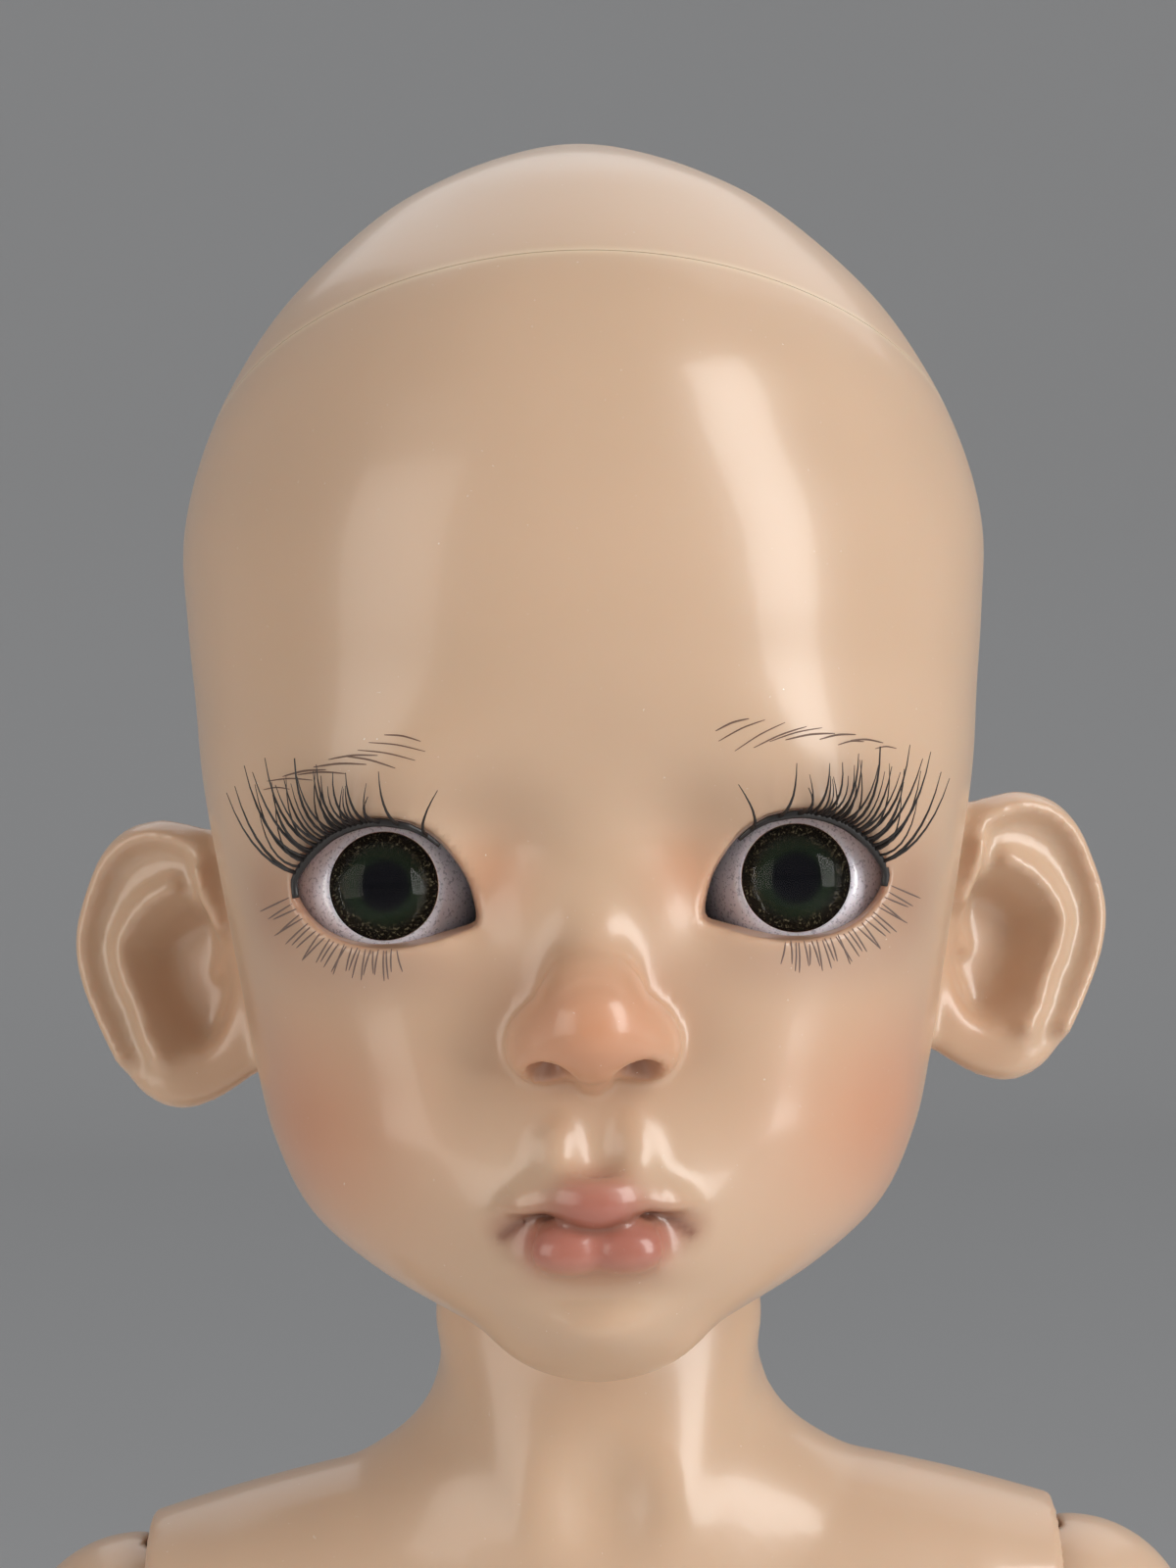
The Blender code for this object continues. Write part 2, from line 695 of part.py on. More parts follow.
def add_ear(head, side):
    """A rim round a dish, with the fold and the root's ridge in it, and the bowl between them."""
    shape(head, as_tool("ear", ear_mesh(side)), "UNION")
    out, up, forward = CONCHA_PLACE_SHARES
    bowl = sphere_mesh("ear_bowl", ear_point(side, (out, up), forward),
                       (CONCHA_HALF_WIDTH, CONCHA_DEPTH, CONCHA_HALF_HEIGHT), 10, 6,
                       Matrix.Rotation(side * EAR_TURN, 3, "Z"))
    shape(head, as_tool("ear_bowl", bowl))
    for shares, taper in ((EAR_FOLD_SHARES, EAR_FOLD_TAPER_SHARES), (EAR_CRUS_SHARES, EAR_CRUS_TAPER_SHARES)):
        points = [ear_point(side, place, EAR_FOLD_RISE_SHARE) for place in shares]
        shape(head, as_tool("ear_fold", tube_mesh("ear_fold", points, EAR_FOLD_RADIUS, taper, 0)), "UNION")


def seam_point():
    return Vector((0, HEAD_Y - SEAM_FRONT_DEPTH, CHIN_Z + SEAM_FRONT_HEIGHT))


def seam_normal():
    return Vector((0, math.sin(SEAM_SLOPE), math.cos(SEAM_SLOPE)))


def seam_block(name, above):
    """A block whose face lies on the cap's seam, to keep the head off its far side."""
    reach = 2 * HEAD_HEIGHT
    half_gap = SEAM_GAP / 2
    at = seam_point()
    low = Vector((-reach, at.y - reach, at.z + half_gap if above else at.z - reach))
    high = Vector((reach, at.y + reach, at.z + reach if above else at.z - half_gap))
    return box_mesh(name, low, high, Matrix.Rotation(-SEAM_SLOPE, 3, "X"), at)


def eye_centre(side):
    return Vector((side * EYE_X, HEAD_Y - EYE_DEPTH, CHIN_Z + EYE_HEIGHT))


# The eye's opening as shares of its half width and half height, from the
# inner corner over the upper lid and back along the lower one.
EYE_OUTLINE_SHARES = (
    (-1.00, -0.42), (-0.86, 0.12), (-0.58, 0.66), (-0.18, 0.96), (0.28, 0.98), (0.66, 0.72),
    (0.91, 0.26), (1.00, -0.20), (0.80, -0.66), (0.42, -0.94), (-0.05, -0.98), (-0.52, -0.82),
    (-0.84, -0.60),
)


def opening_points(side, grow=0.0):
    """Points of the eye's opening in x and z, for an opening widened by grow."""
    half_width = EYE_OPENING_WIDTH / 2 + grow
    half_height = EYE_OPENING_HEIGHT / 2 + grow
    centre = eye_centre(side)
    return [(centre.x + side * a * half_width, centre.z + b * half_height)
            for a, b in EYE_OUTLINE_SHARES]


def opening_cutter(side):
    """A flared prism along Y through the face: wider in front, so the lid's rim is bevelled."""
    centre = eye_centre(side)
    front = centre.y - 2 * EYE_RADIUS
    rings = [[Vector((x, centre.y, z)) for x, z in opening_points(side)],
             [Vector((x, centre.y - EYE_RADIUS, z)) for x, z in opening_points(side)],
             [Vector((x, front, z)) for x, z in opening_points(side, LID_FLARE)]]
    return loft_mesh("eye_opening", rings)


def seam_crossing(rings, turn_share):
    """Where one column of the rings, at a share of the way round, passes the seam's plane."""
    at, normal = seam_point(), seam_normal()
    for lower, upper in zip(rings, rings[1:]):
        low = lower[int(turn_share * len(lower)) % len(lower)]
        high = upper[int(turn_share * len(upper)) % len(upper)]
        below, above = (low - at).dot(normal), (high - at).dot(normal)
        if below <= 0 < above:
            return low.lerp(high, below / (below - above))
    return at


COLUMN_TURN_SHARES = {"front": 0.5, "back": 0.0}


def magnet_places():
    """Centres of the two magnet pairs on the seam, in the middle of the wall front and back."""
    skin, hollow = head_skin(), head_hollow()
    return {end: (seam_crossing(skin, turn) + seam_crossing(hollow, turn)) / 2
            for end, turn in COLUMN_TURN_SHARES.items()}


def build_head():
    head = add_mesh("head_shell", loft_mesh("head_shell", head_skin()), resin())
    for side in (-1, 1):
        add_ear(head, side)
    shape(head, as_tool("nose", nose_mesh()), "UNION")
    shape(head, as_tool("nose_tip", nose_round("nose_tip", NOSE_TIP_SHARES, 0, 12, 8)), "UNION")
    for side in (-1, 1):
        shape(head, as_tool("nose_wing", nose_round("nose_wing", NOSE_WING_SHARES, side, 8, 6)), "UNION")
    shape(head, as_tool("upper_lip", lip_mesh("upper_lip", UPPER_LIP_SHARES)), "UNION")
    shape(head, as_tool("lower_lip", lip_mesh("lower_lip", LOWER_LIP_SHARES)), "UNION")
    shape(head, as_tool("head_hollow", loft_mesh("head_hollow", head_hollow())))
    neck = Vector((0, BODY_AXIS_Y, NECK_Z))
    socket = socket_mesh("neck_socket", neck, NECK_BALL_RADIUS, TORSO_SIDES)
    shape(head, as_tool("neck_socket", socket))
    top = neck + Vector((0, 0, HEAD_FLOOR_HEIGHT + CUT_OVERRUN))
    shape(head, as_tool("neck_slot", cylinder_mesh("neck_slot", neck, top, NECK_HOLE_RADIUS)))
    for side in (-1, 1):
        shape(head, as_tool("eye_opening", opening_cutter(side)))
        recess = socket_mesh("eye_recess", eye_centre(side), EYE_RADIUS)
        shape(head, as_tool("eye_recess", recess))
    cap = add_mesh("head_cap", loft_mesh("head_cap", head_skin()), resin())
    shape(cap, as_tool("cap_hollow", loft_mesh("cap_hollow", head_hollow())))
    shape(cap, as_tool("cap_side", seam_block("cap_side", True)), "INTERSECT")
    shape(head, as_tool("shell_side", seam_block("shell_side", False)), "INTERSECT")
    build_magnets(head, cap)


def build_magnets(head, cap):
    places, normal = magnet_places(), seam_normal()
    for owner, target, sign in (("head", head, -1), ("cap", cap, 1)):
        for end, place in places.items():
            face = place + normal * sign * SEAM_GAP / 2
            pocket = cylinder_mesh("pocket", face - normal * sign * CUT_OVERRUN,
                                   face + normal * sign * (MAGNET_THICKNESS + JOINT_GAP),
                                   MAGNET_RADIUS + JOINT_GAP)
            shape(target, as_tool(f"{owner}_magnet_pocket", pocket))
            disc = cylinder_mesh("disc", face, face + normal * sign * MAGNET_THICKNESS, MAGNET_RADIUS)
            add_mesh(f"{owner}_magnet_{end}", disc, magnet_metal())


# Eyes

def side_name(side):
    return "left" if side > 0 else "right"


def build_eye(side):
    name = side_name(side)
    centre = eye_centre(side)
    reach = EYE_RADIUS + CUT_OVERRUN
    ball = add_mesh(f"eyeball_{name}",
                    sphere_mesh("eyeball", centre, EYE_RADIUS, 14, 8), glass_white())
    iris_front = centre.y - IRIS_PLANE
    keep = box_mesh("eyeball_keep", (centre.x - reach, iris_front, centre.z - reach),
                    (centre.x + reach, centre.y + EYE_BACK_PLANE, centre.z + reach))
    shape(ball, as_tool("eyeball_keep", keep), "INTERSECT")
    pocket = cylinder_mesh("iris_pocket", (centre.x, iris_front - CUT_OVERRUN, centre.z),
                           (centre.x, iris_front + IRIS_THICKNESS + JOINT_GAP, centre.z),
                           IRIS_RADIUS + JOINT_GAP / 2)
    shape(ball, as_tool("iris_pocket", pocket))
    disc = cylinder_mesh("iris", (centre.x, iris_front, centre.z),
                         (centre.x, iris_front + IRIS_THICKNESS, centre.z),
                         IRIS_RADIUS - JOINT_GAP / 2, sides=20)
    add_mesh(f"iris_{name}", disc, iris_dark())
    add_mesh(f"cornea_{name}", cornea_mesh(centre, iris_front - JOINT_GAP), glass_clear())
    ring = ring_mesh("putty", (centre.x, centre.y + EYE_BACK_PLANE + JOINT_GAP + PUTTY_THICKNESS,
                               centre.z), PUTTY_RADIUS, PUTTY_THICKNESS)
    add_mesh(f"eye_putty_{name}", ring, putty())


CORNEA_RINGS = 4


def cornea_mesh(centre, base_y):
    """A clear dome on a flat base, a cap of a sphere that the rise and radius settle."""
    curve = (CORNEA_RADIUS ** 2 + CORNEA_RISE ** 2) / (2 * CORNEA_RISE)
    rings = []
    for k in range(CORNEA_RINGS):
        across = CORNEA_RADIUS * (1 - k / CORNEA_RINGS)
        rise = math.sqrt(curve ** 2 - across ** 2) - (curve - CORNEA_RISE)
        rings.append([Vector((centre.x + across * math.cos(2 * math.pi * i / LIMB_SIDES),
                              base_y - rise,
                              centre.z + across * math.sin(2 * math.pi * i / LIMB_SIDES)))
                      for i in range(LIMB_SIDES)])
    rings.append([Vector((centre.x, base_y - CORNEA_RISE, centre.z))])
    return loft_mesh("cornea", rings)


def ring_mesh(name, centre, major, minor):
    """A torus whose hole runs along Y."""
    vertices, faces = [], []
    around, across = LIMB_SIDES, 4
    for i in range(around):
        turn = 2 * math.pi * i / around
        for k in range(across):
            roll = 2 * math.pi * k / across
            reach = major + minor * math.cos(roll)
            vertices.append((centre[0] + reach * math.cos(turn), centre[1] + minor * math.sin(roll),
                             centre[2] + reach * math.sin(turn)))
            faces.append([i * across + k, (i + 1) % around * across + k,
                          (i + 1) % around * across + (k + 1) % across, i * across + (k + 1) % across])
    return mesh_from(name, vertices, faces)


LASH_ARC_SHARES = (1.2, 4.6)
LASH_TAPER_SHARES = (1.0, 0.8, 0.55, 0.2)
LASH_CURL_SHARES = ((0.0, 0.0), (1.0, 0.0), (1.25, 0.36), (1.30, 1.0))
LASH_FAN_SHARES = (0.35, 1.5)
LASH_LENGTH_SHARES = (0.45, 0.75)
LASH_WIDTH_SHARE = 0.8


def lid_point(side, place, inset):
    """A point on the upper lid's edge at a place along its outline, drawn in by inset."""
    i = int(place)
    t = place - i
    a, b = [(1 - t) * p + t * q for p, q in zip(EYE_OUTLINE_SHARES[i], EYE_OUTLINE_SHARES[i + 1])]
    centre = eye_centre(side)
    return (centre.x + side * a * (EYE_OPENING_WIDTH / 2 - inset),
            centre.z + b * (EYE_OPENING_HEIGHT / 2 - inset))


def build_lashes(side):
    """A glued strip along the upper lid with a comb of hairs that curl forward and up."""
    name = f"lashes_{side_name(side)}"
    centre = eye_centre(side)
    inset = JOINT_GAP + LASH_THICKNESS / 2
    first, last = LASH_ARC_SHARES
    points = []
    steps = LASH_COUNT - 1
    for i in range(LASH_COUNT):
        x, z = lid_point(side, first + (last - first) * i / steps, inset)
        root = Vector((x, 0, z)) - Vector((centre.x, 0, centre.z))
        deep = math.sqrt(max((EYE_RADIUS + LASH_ROOT_DEPTH) ** 2 - root.length ** 2, 0))
        points.append(Vector((x, centre.y - deep, z)))
    band = add_mesh(name, tube_mesh(name, points, LASH_THICKNESS, resolution=0), lash_black())
    for i in range(1, LASH_COUNT - 1):
        place = i / steps
        outward = Vector((side * (place - LASH_FAN_SHARES[0]) * LASH_FAN_SHARES[1], 0, 1)).normalized()
        length = LASH_LENGTH * (LASH_LENGTH_SHARES[0] + LASH_LENGTH_SHARES[1] * place)
        hair = []
        for forward, up in LASH_CURL_SHARES:
            hair.append(points[i] + Vector((0, -forward * LASH_REACH, 0)) + outward * up * length)
        comb = tube_mesh("lash", hair, LASH_THICKNESS * LASH_WIDTH_SHARE, LASH_TAPER_SHARES, resolution=0)
        shape(band, as_tool("lash", comb), "UNION")
    return band


# Torso

CHEST_ROW_SHARES = (
    (0.000, 0.745, 1.240, 1.210), (0.120, 0.800, 1.160, 1.070), (0.300, 0.880, 1.060, 0.990),
    (0.520, 0.960, 1.020, 0.985), (0.700, 1.000, 0.985, 0.960), (0.860, 0.950, 0.910, 0.900),
    (1.000, 0.720, 0.820, 0.820),
)
YOKE_ROW_SHARES = (
    (-1.00, 1.00, 0.00), (-0.79, 1.14, 0.10), (-0.55, 1.23, 0.27), (-0.30, 1.30, 0.40),
    (0.30, 1.30, 0.40), (0.55, 1.23, 0.27), (0.79, 1.14, 0.10), (1.00, 1.00, 0.00),
)
# Shares of the neck's radius: down from the chin, then its half width, front
# and back there
NECK_ROW_SHARES = (
    (1.75, 1.35, 0.96, 1.00), (1.30, 1.42, 1.08, 1.06), (0.95, 1.37, 1.13, 1.09),
    (0.72, 1.28, 1.13, 1.09), (0.50, 1.165, 1.09, 1.07), (0.24, 1.055, 1.03, 1.03),
    (0.00, 1.00, 1.00, 1.00),
)


CHEST_TOP_SHARE = 0.75
YOKE_DEPTH_SHARE = 1.12


def build_chest():
    rim = WAIST_Z + WAIST_RIM_ABOVE_PIVOT
    top = SHOULDER_Z + YOKE_END_RADIUS * CHEST_TOP_SHARE
    rows = [(rim + up * (top - rim), wide * CHEST_HALF_WIDTH, front * CHEST_HALF_DEPTH,
             back * CHEST_HALF_DEPTH) for up, wide, front, back in CHEST_ROW_SHARES]
    chest = add_mesh("chest", loft_mesh("chest", limb_rings(0, BODY_AXIS_Y, rows, TORSO_SIDES)), resin())
    shape(chest, as_tool("shoulder_yoke", yoke_mesh()), "UNION")
    shape(chest, as_tool("neck", neck_mesh()), "UNION")
    for side in (-1, 1):
        ball = pivot_at(side, SHOULDER_X, SHOULDER_Z)
        step = ball - Vector((side * (SHOULDER_NECK_RADIUS + 2 * JOINT_GAP), 0, -YOKE_ROOF_RISE))
        reach = 2 * YOKE_END_RADIUS
        corners = (step + Vector((0, -reach, -reach)), step + Vector((side * reach, reach, 0)))
        low = [min(a, b) for a, b in zip(*corners)]
        high = [max(a, b) for a, b in zip(*corners)]
        shape(chest, as_tool("yoke_step", box_mesh("yoke_step", low, high)))
        socket = socket_mesh("shoulder_socket", ball, SHOULDER_BALL_RADIUS)
        shape(chest, as_tool("shoulder_socket", socket))
    waist = Vector((0, BODY_AXIS_Y, WAIST_Z))
    shape(chest, as_tool("waist_socket", socket_mesh(
        "waist_socket", waist, WAIST_BALL_RADIUS, TORSO_SIDES, 12)))
    hollow_top = SHOULDER_Z + YOKE_END_RADIUS / 2
    shape(chest, as_tool("chest_hollow", cylinder_mesh(
        "chest_hollow", waist, (0, BODY_AXIS_Y, hollow_top), CHEST_HOLLOW_RADIUS)))
    neck_top = NECK_Z + NECK_BALL_RADIUS + CUT_OVERRUN
    shape(chest, as_tool("neck_channel", cylinder_mesh(
        "neck_channel", (0, BODY_AXIS_Y, SHOULDER_Z), (0, BODY_AXIS_Y, neck_top),
        NECK_HOLE_RADIUS, sides=CHANNEL_SIDES)))
    ends = [pivot_at(side, SHOULDER_X, SHOULDER_Z) for side in (-1, 1)]
    snug = (ELASTIC_RADIUS + JOINT_GAP) / math.cos(math.pi / CHANNEL_SIDES)
    shape(chest, as_tool("arm_channel", cylinder_mesh(
        "arm_channel", ends[0], ends[1], snug, sides=CHANNEL_SIDES)))
    return chest


def yoke_mesh():
    """The shoulders, lofted across the doll between the two arm sockets."""
    rings = []
    for across, size, lift in YOKE_ROW_SHARES:
        radius = size * YOKE_END_RADIUS
        middle = SHOULDER_Z + lift * (YOKE_END_RADIUS / 2)
        ring = []
        for i in range(LIMB_SIDES):
            turn = 2 * math.pi * i / LIMB_SIDES
            deep = min(radius, YOKE_END_RADIUS * YOKE_DEPTH_SHARE)
            ring.append(Vector((across * YOKE_HALF_WIDTH, BODY_AXIS_Y + deep * math.sin(turn),
                                middle + radius * math.cos(turn))))
        rings.append(ring)
    return loft_mesh("shoulder_yoke", rings)


def neck_mesh():
    rows = []
    for down, wide, front, back in NECK_ROW_SHARES:
        rows.append((CHIN_Z - down * NECK_RADIUS, wide * NECK_RADIUS, front * NECK_RADIUS,
                     back * NECK_RADIUS))
    start = math.asin(NECK_RADIUS / NECK_BALL_RADIUS)
    rows.extend(reversed(ball_stations(NECK_Z, NECK_BALL_RADIUS, 0, start, 4)))
    return loft_mesh("neck", limb_rings(0, BODY_AXIS_Y, rows, TORSO_SIDES))


# Rows of the hips from crotch to waist: shares of the height, the half width,
# then the reach forward and back as shares of the half depth.
PELVIS_ROW_SHARES = (
    (0.000, 0.16, 0.48, 0.55), (0.090, 0.46, 0.70, 0.86), (0.190, 0.78, 0.83, 1.02),
    (0.310, 0.965, 0.90, 1.08), (0.440, 1.000, 0.95, 1.04), (0.620, 0.900, 1.01, 0.92),
    (0.800, 0.755, 1.04, 0.90), (0.930, 0.640, 1.035, 0.96), (1.000, 0.560, 0.96, 0.93),
)
HIP_HOLLOW_SHARES = (
    (0.00, 1.00, 0.45), (0.22, 0.96, 0.55), (0.62, 0.62, 0.55), (1.00, 0.42, 0.50),
)


PELVIS_TOP_SHARE = 0.12
HIP_CHANNEL_SHARE = 1.5


def build_pelvis():
    bottom = HIP_Z - PELVIS_BELOW_HIP
    top = WAIST_Z - WAIST_BALL_RADIUS * PELVIS_TOP_SHARE
    rows = [(bottom + up * (top - bottom), wide * PELVIS_HALF_WIDTH, front * PELVIS_HALF_DEPTH,
             back * PELVIS_HALF_DEPTH) for up, wide, front, back in PELVIS_ROW_SHARES]
    pelvis = add_mesh("pelvis", loft_mesh("pelvis", limb_rings(0, BODY_AXIS_Y, rows, TORSO_SIDES)), resin())
    waist = Vector((0, BODY_AXIS_Y, WAIST_Z))
    dome = sphere_mesh("waist_ball", waist, WAIST_BALL_RADIUS, TORSO_SIDES, 12)
    shape(pelvis, as_tool("waist_ball", dome), "UNION")
    floor = HIP_Z + HIP_BALL_RADIUS + JOINT_GAP + CUT_OVERRUN
    roof = WAIST_Z + WAIST_BALL_RADIUS + CUT_OVERRUN
    hollow = [(floor + up * (roof - floor), wide * PELVIS_HOLLOW_HALF_WIDTH,
               deep * PELVIS_HALF_DEPTH, deep * PELVIS_HALF_DEPTH)
              for up, wide, deep in HIP_HOLLOW_SHARES]
    shape(pelvis, as_tool("hip_hollow", loft_mesh(
        "hip_hollow", limb_rings(0, BODY_AXIS_Y, hollow, 12))))
    for side in (-1, 1):
        ball = pivot_at(side, HIP_X, HIP_Z)
        shape(pelvis, as_tool("hip_socket", socket_mesh(
            "hip_socket", ball, HIP_BALL_RADIUS)))
        shape(pelvis, as_tool("hip_channel", cylinder_mesh(
            "hip_channel", ball, (ball.x, ball.y, floor + CUT_OVERRUN), CHANNEL_RADIUS * HIP_CHANNEL_SHARE,
            sides=CHANNEL_SIDES)))
        shape(pelvis, as_tool("sitting_notch", sitting_notch(ball)))
    return pelvis


def sitting_notch(ball):
    """The way that the thigh's neck takes as it swings up to the front."""
    width = HIP_NECK_RADIUS + JOINT_GAP * 2
    front = ball.y - 2 * PELVIS_HALF_DEPTH
    low = HIP_Z - PELVIS_BELOW_HIP - CUT_OVERRUN
    rings = []
    for y in (ball.y, front):
        ring = [Vector((ball.x - width, y, low)), Vector((ball.x + width, y, low))]
        for i in range(NOTCH_STEPS + 1):
            turn = math.pi * i / NOTCH_STEPS
            ring.append(Vector((ball.x + width * math.cos(turn), y, ball.z + width * math.sin(turn))))
        rings.append(ring)
    return loft_mesh("sitting_notch", rings)


# Limbs

def limb_top(height, ball_radius, neck_radius, steps=5):
    """Stations of a ball from its top down to the neck below it."""
    end = math.pi - math.asin(neck_radius / ball_radius)
    return ball_stations(height, ball_radius, 0, end, steps)


def rows_below(height, length, radius, shares):
    return [(height - down * length, wide * radius, front * radius, back * radius)
            for down, wide, front, back in shares]


# Stations along each limb: shares of its length, then of its radius across,
# forward and back. The first follows the ball's neck.
UPPER_ARM_SHARES = (
    (0.235, 0.94, 0.92, 0.95), (0.33, 1.01, 1.00, 1.02), (0.50, 0.99, 1.01, 0.98),
    (0.70, 0.95, 0.95, 0.94), (0.88, 0.93, 0.93, 0.93), (0.995, 0.925, 0.925, 0.925),
)
FOREARM_SHARES = (
    (0.015, 1.00, 0.98, 0.98), (0.12, 1.02, 1.02, 1.00), (0.28, 1.01, 1.02, 0.98),
    (0.50, 0.92, 0.93, 0.92), (0.72, 0.81, 0.82, 0.82), (0.88, 0.755, 0.76, 0.76),
)
THIGH_SHARES = (
    (0.265, 0.97, 0.96, 0.97), (0.36, 1.01, 1.01, 1.03), (0.52, 1.00, 1.02, 1.00),
    (0.70, 0.94, 0.96, 0.93), (0.86, 0.90, 0.92, 0.89), (0.99, 0.893, 0.905, 0.893),
)
CALF_SHARES = (
    (0.015, 0.985, 0.985, 1.00), (0.12, 0.99, 0.96, 1.08), (0.28, 0.98, 0.91, 1.12),
    (0.48, 0.90, 0.86, 1.00), (0.70, 0.80, 0.80, 0.83), (0.88, 0.79, 0.79, 0.80),
)


def rim_block(name, pivot, radius, front_height, back_height, above):
    """A block with a sloped face through the rim of a limb's end, front to back."""
    slope = math.atan2(back_height - front_height, 2 * radius)
    reach = 4 * radius
    middle = Vector((pivot.x, pivot.y, pivot.z + (front_height + back_height) / 2))
    low = Vector((middle.x - reach, middle.y - reach, middle.z if above else middle.z - reach))
    high = Vector((middle.x + reach, middle.y + reach, middle.z + reach if above else middle.z))
    return box_mesh(name, low, high, Matrix.Rotation(slope, 3, "X"), middle)


def upper_limb(name, pivot, stations, lower, sizes, finish):
    """A limb from its ball down to the socket of a double joint."""
    ball_radius, end_radius, half_span, front, back = sizes
    limb = add_mesh(name, loft_mesh(name, limb_rings(pivot.x, pivot.y, stations)), finish)
    joint = Vector((pivot.x, pivot.y, lower + half_span))
    shape(limb, as_tool("rim", rim_block("rim", joint, end_radius, front, back, False)))
    shape(limb, as_tool("end_socket", socket_mesh("end_socket", joint, ball_radius)))
    shape(limb, as_tool("limb_channel", cylinder_mesh(
        "limb_channel", joint, pivot, CHANNEL_RADIUS, sides=CHANNEL_SIDES)))
    return limb


def lower_limb(name, pivot, stations, bottom, sizes, finish):
    """A limb from the socket of a double joint down to the socket of a ball."""
    ball_radius, end_radius, half_span, front, back, end_ball = sizes
    limb = add_mesh(name, loft_mesh(name, limb_rings(pivot.x, pivot.y, stations)), finish)
    joint = Vector((pivot.x, pivot.y, pivot.z - half_span))
    shape(limb, as_tool("rim", rim_block("rim", joint, end_radius, front, back, True)))
    shape(limb, as_tool("top_socket", socket_mesh("top_socket", joint, ball_radius)))
    end = Vector((pivot.x, pivot.y, bottom))
    shape(limb, as_tool("end_socket", socket_mesh("end_socket", end, end_ball)))
    shape(limb, as_tool("limb_channel", cylinder_mesh(
        "limb_channel", joint, end, CHANNEL_RADIUS, sides=CHANNEL_SIDES)))
    return limb


JOINT_BORE_SHARE = 0.85
JOINT_SLOT_SHARE = 0.8
JOINT_PAST_HALF = math.radians(20)


def double_joint(name, pivot, half_span, ball_radius, slot_side, finish):
    """Two balls in one piece, with a slot along the side that the limb folds to."""
    past = math.pi / 2 + JOINT_PAST_HALF
    stations = ball_stations(pivot.z + half_span, ball_radius, 0, past, 5)
    stations.extend(ball_stations(pivot.z - half_span, ball_radius, math.pi - past, math.pi, 5))
    piece = add_mesh(name, loft_mesh(name, limb_rings(pivot.x, pivot.y, stations)), finish)
    reach = half_span + ball_radius + CUT_OVERRUN
    ends = [pivot + Vector((0, 0, sign * reach)) for sign in (-1, 1)]
    shape(piece, as_tool("joint_channel", cylinder_mesh(
        "joint_channel", ends[0], ends[1], CHANNEL_RADIUS * JOINT_BORE_SHARE, sides=CHANNEL_SIDES)))
    for sign in (-1, 1):
        ball = pivot + Vector((0, 0, sign * half_span))
        half = CHANNEL_RADIUS * JOINT_SLOT_SHARE
        corners = (ball + Vector((-half, 0, 0)), ball + Vector((half, slot_side * reach, sign * reach)))
        low = [min(a, b) for a, b in zip(*corners)]
        high = [max(a, b) for a, b in zip(*corners)]
        shape(piece, as_tool("joint_slot", box_mesh("joint_slot", low, high)))
    return piece


def cord(name, points, finish=None):
    return add_mesh(name, tube_mesh(name, points, ELASTIC_RADIUS), finish or elastic())


CORD_END_SHARE = 1.6


def cord_end():
    """How far a cord ends from the pivot that it crosses, so that its halves can turn."""
    return ELASTIC_RADIUS * CORD_END_SHARE


def arm_lean(side):
    """The turn about the shoulder that leans the straight arm out from the body."""
    shoulder = pivot_at(side, SHOULDER_X, SHOULDER_Z)
    turn = Matrix.Rotation(-side * ARM_LEAN, 4, "Y")
    return Matrix.Translation(shoulder) @ turn @ Matrix.Translation(-shoulder)


def build_arm(side):
    name = side_name(side)
    shoulder = pivot_at(side, SHOULDER_X, SHOULDER_Z)
    elbow = pivot_at(side, SHOULDER_X, ELBOW_Z)
    wrist = pivot_at(side, SHOULDER_X, WRIST_Z)
    older = set(CUTTERS.objects)
    stations = limb_top(SHOULDER_Z, SHOULDER_BALL_RADIUS, SHOULDER_NECK_RADIUS)
    neck_end = SHOULDER_Z - YOKE_END_RADIUS - JOINT_GAP
    stations.append((neck_end, SHOULDER_NECK_RADIUS, SHOULDER_NECK_RADIUS, SHOULDER_NECK_RADIUS))
    stations.extend(rows_below(SHOULDER_Z, UPPER_ARM_LENGTH, UPPER_ARM_RADIUS, UPPER_ARM_SHARES))
    sizes = (ELBOW_BALL_RADIUS, ELBOW_END_RADIUS, ELBOW_HALF_SPAN, ELBOW_RIM_HIGH, -ELBOW_RIM_LOW)
    upper = upper_limb(f"upper_arm_{name}", shoulder, stations, ELBOW_Z, sizes, resin())
    shape(upper, as_tool("shoulder_slot", shoulder_slot(side, shoulder)))
    double_joint(f"elbow_joint_{name}", elbow, ELBOW_HALF_SPAN, ELBOW_BALL_RADIUS, -1, resin())
    rows = rows_below(ELBOW_Z, FOREARM_LENGTH, FOREARM_RADIUS, FOREARM_SHARES)
    rows.append((WRIST_Z + WRIST_RIM, WRIST_END_RADIUS, WRIST_END_RADIUS, WRIST_END_RADIUS))
    sizes = (ELBOW_BALL_RADIUS, ELBOW_END_RADIUS, ELBOW_HALF_SPAN, -ELBOW_RIM_HIGH, ELBOW_RIM_LOW,
             WRIST_BALL_RADIUS)
    lower_limb(f"forearm_{name}", elbow, rows, WRIST_Z, sizes, resin())
    build_hand(side, wrist)
    for tool in set(CUTTERS.objects) - older:
        tool.matrix_world = arm_lean(side)
    build_arm_strings(side, shoulder, elbow, wrist)


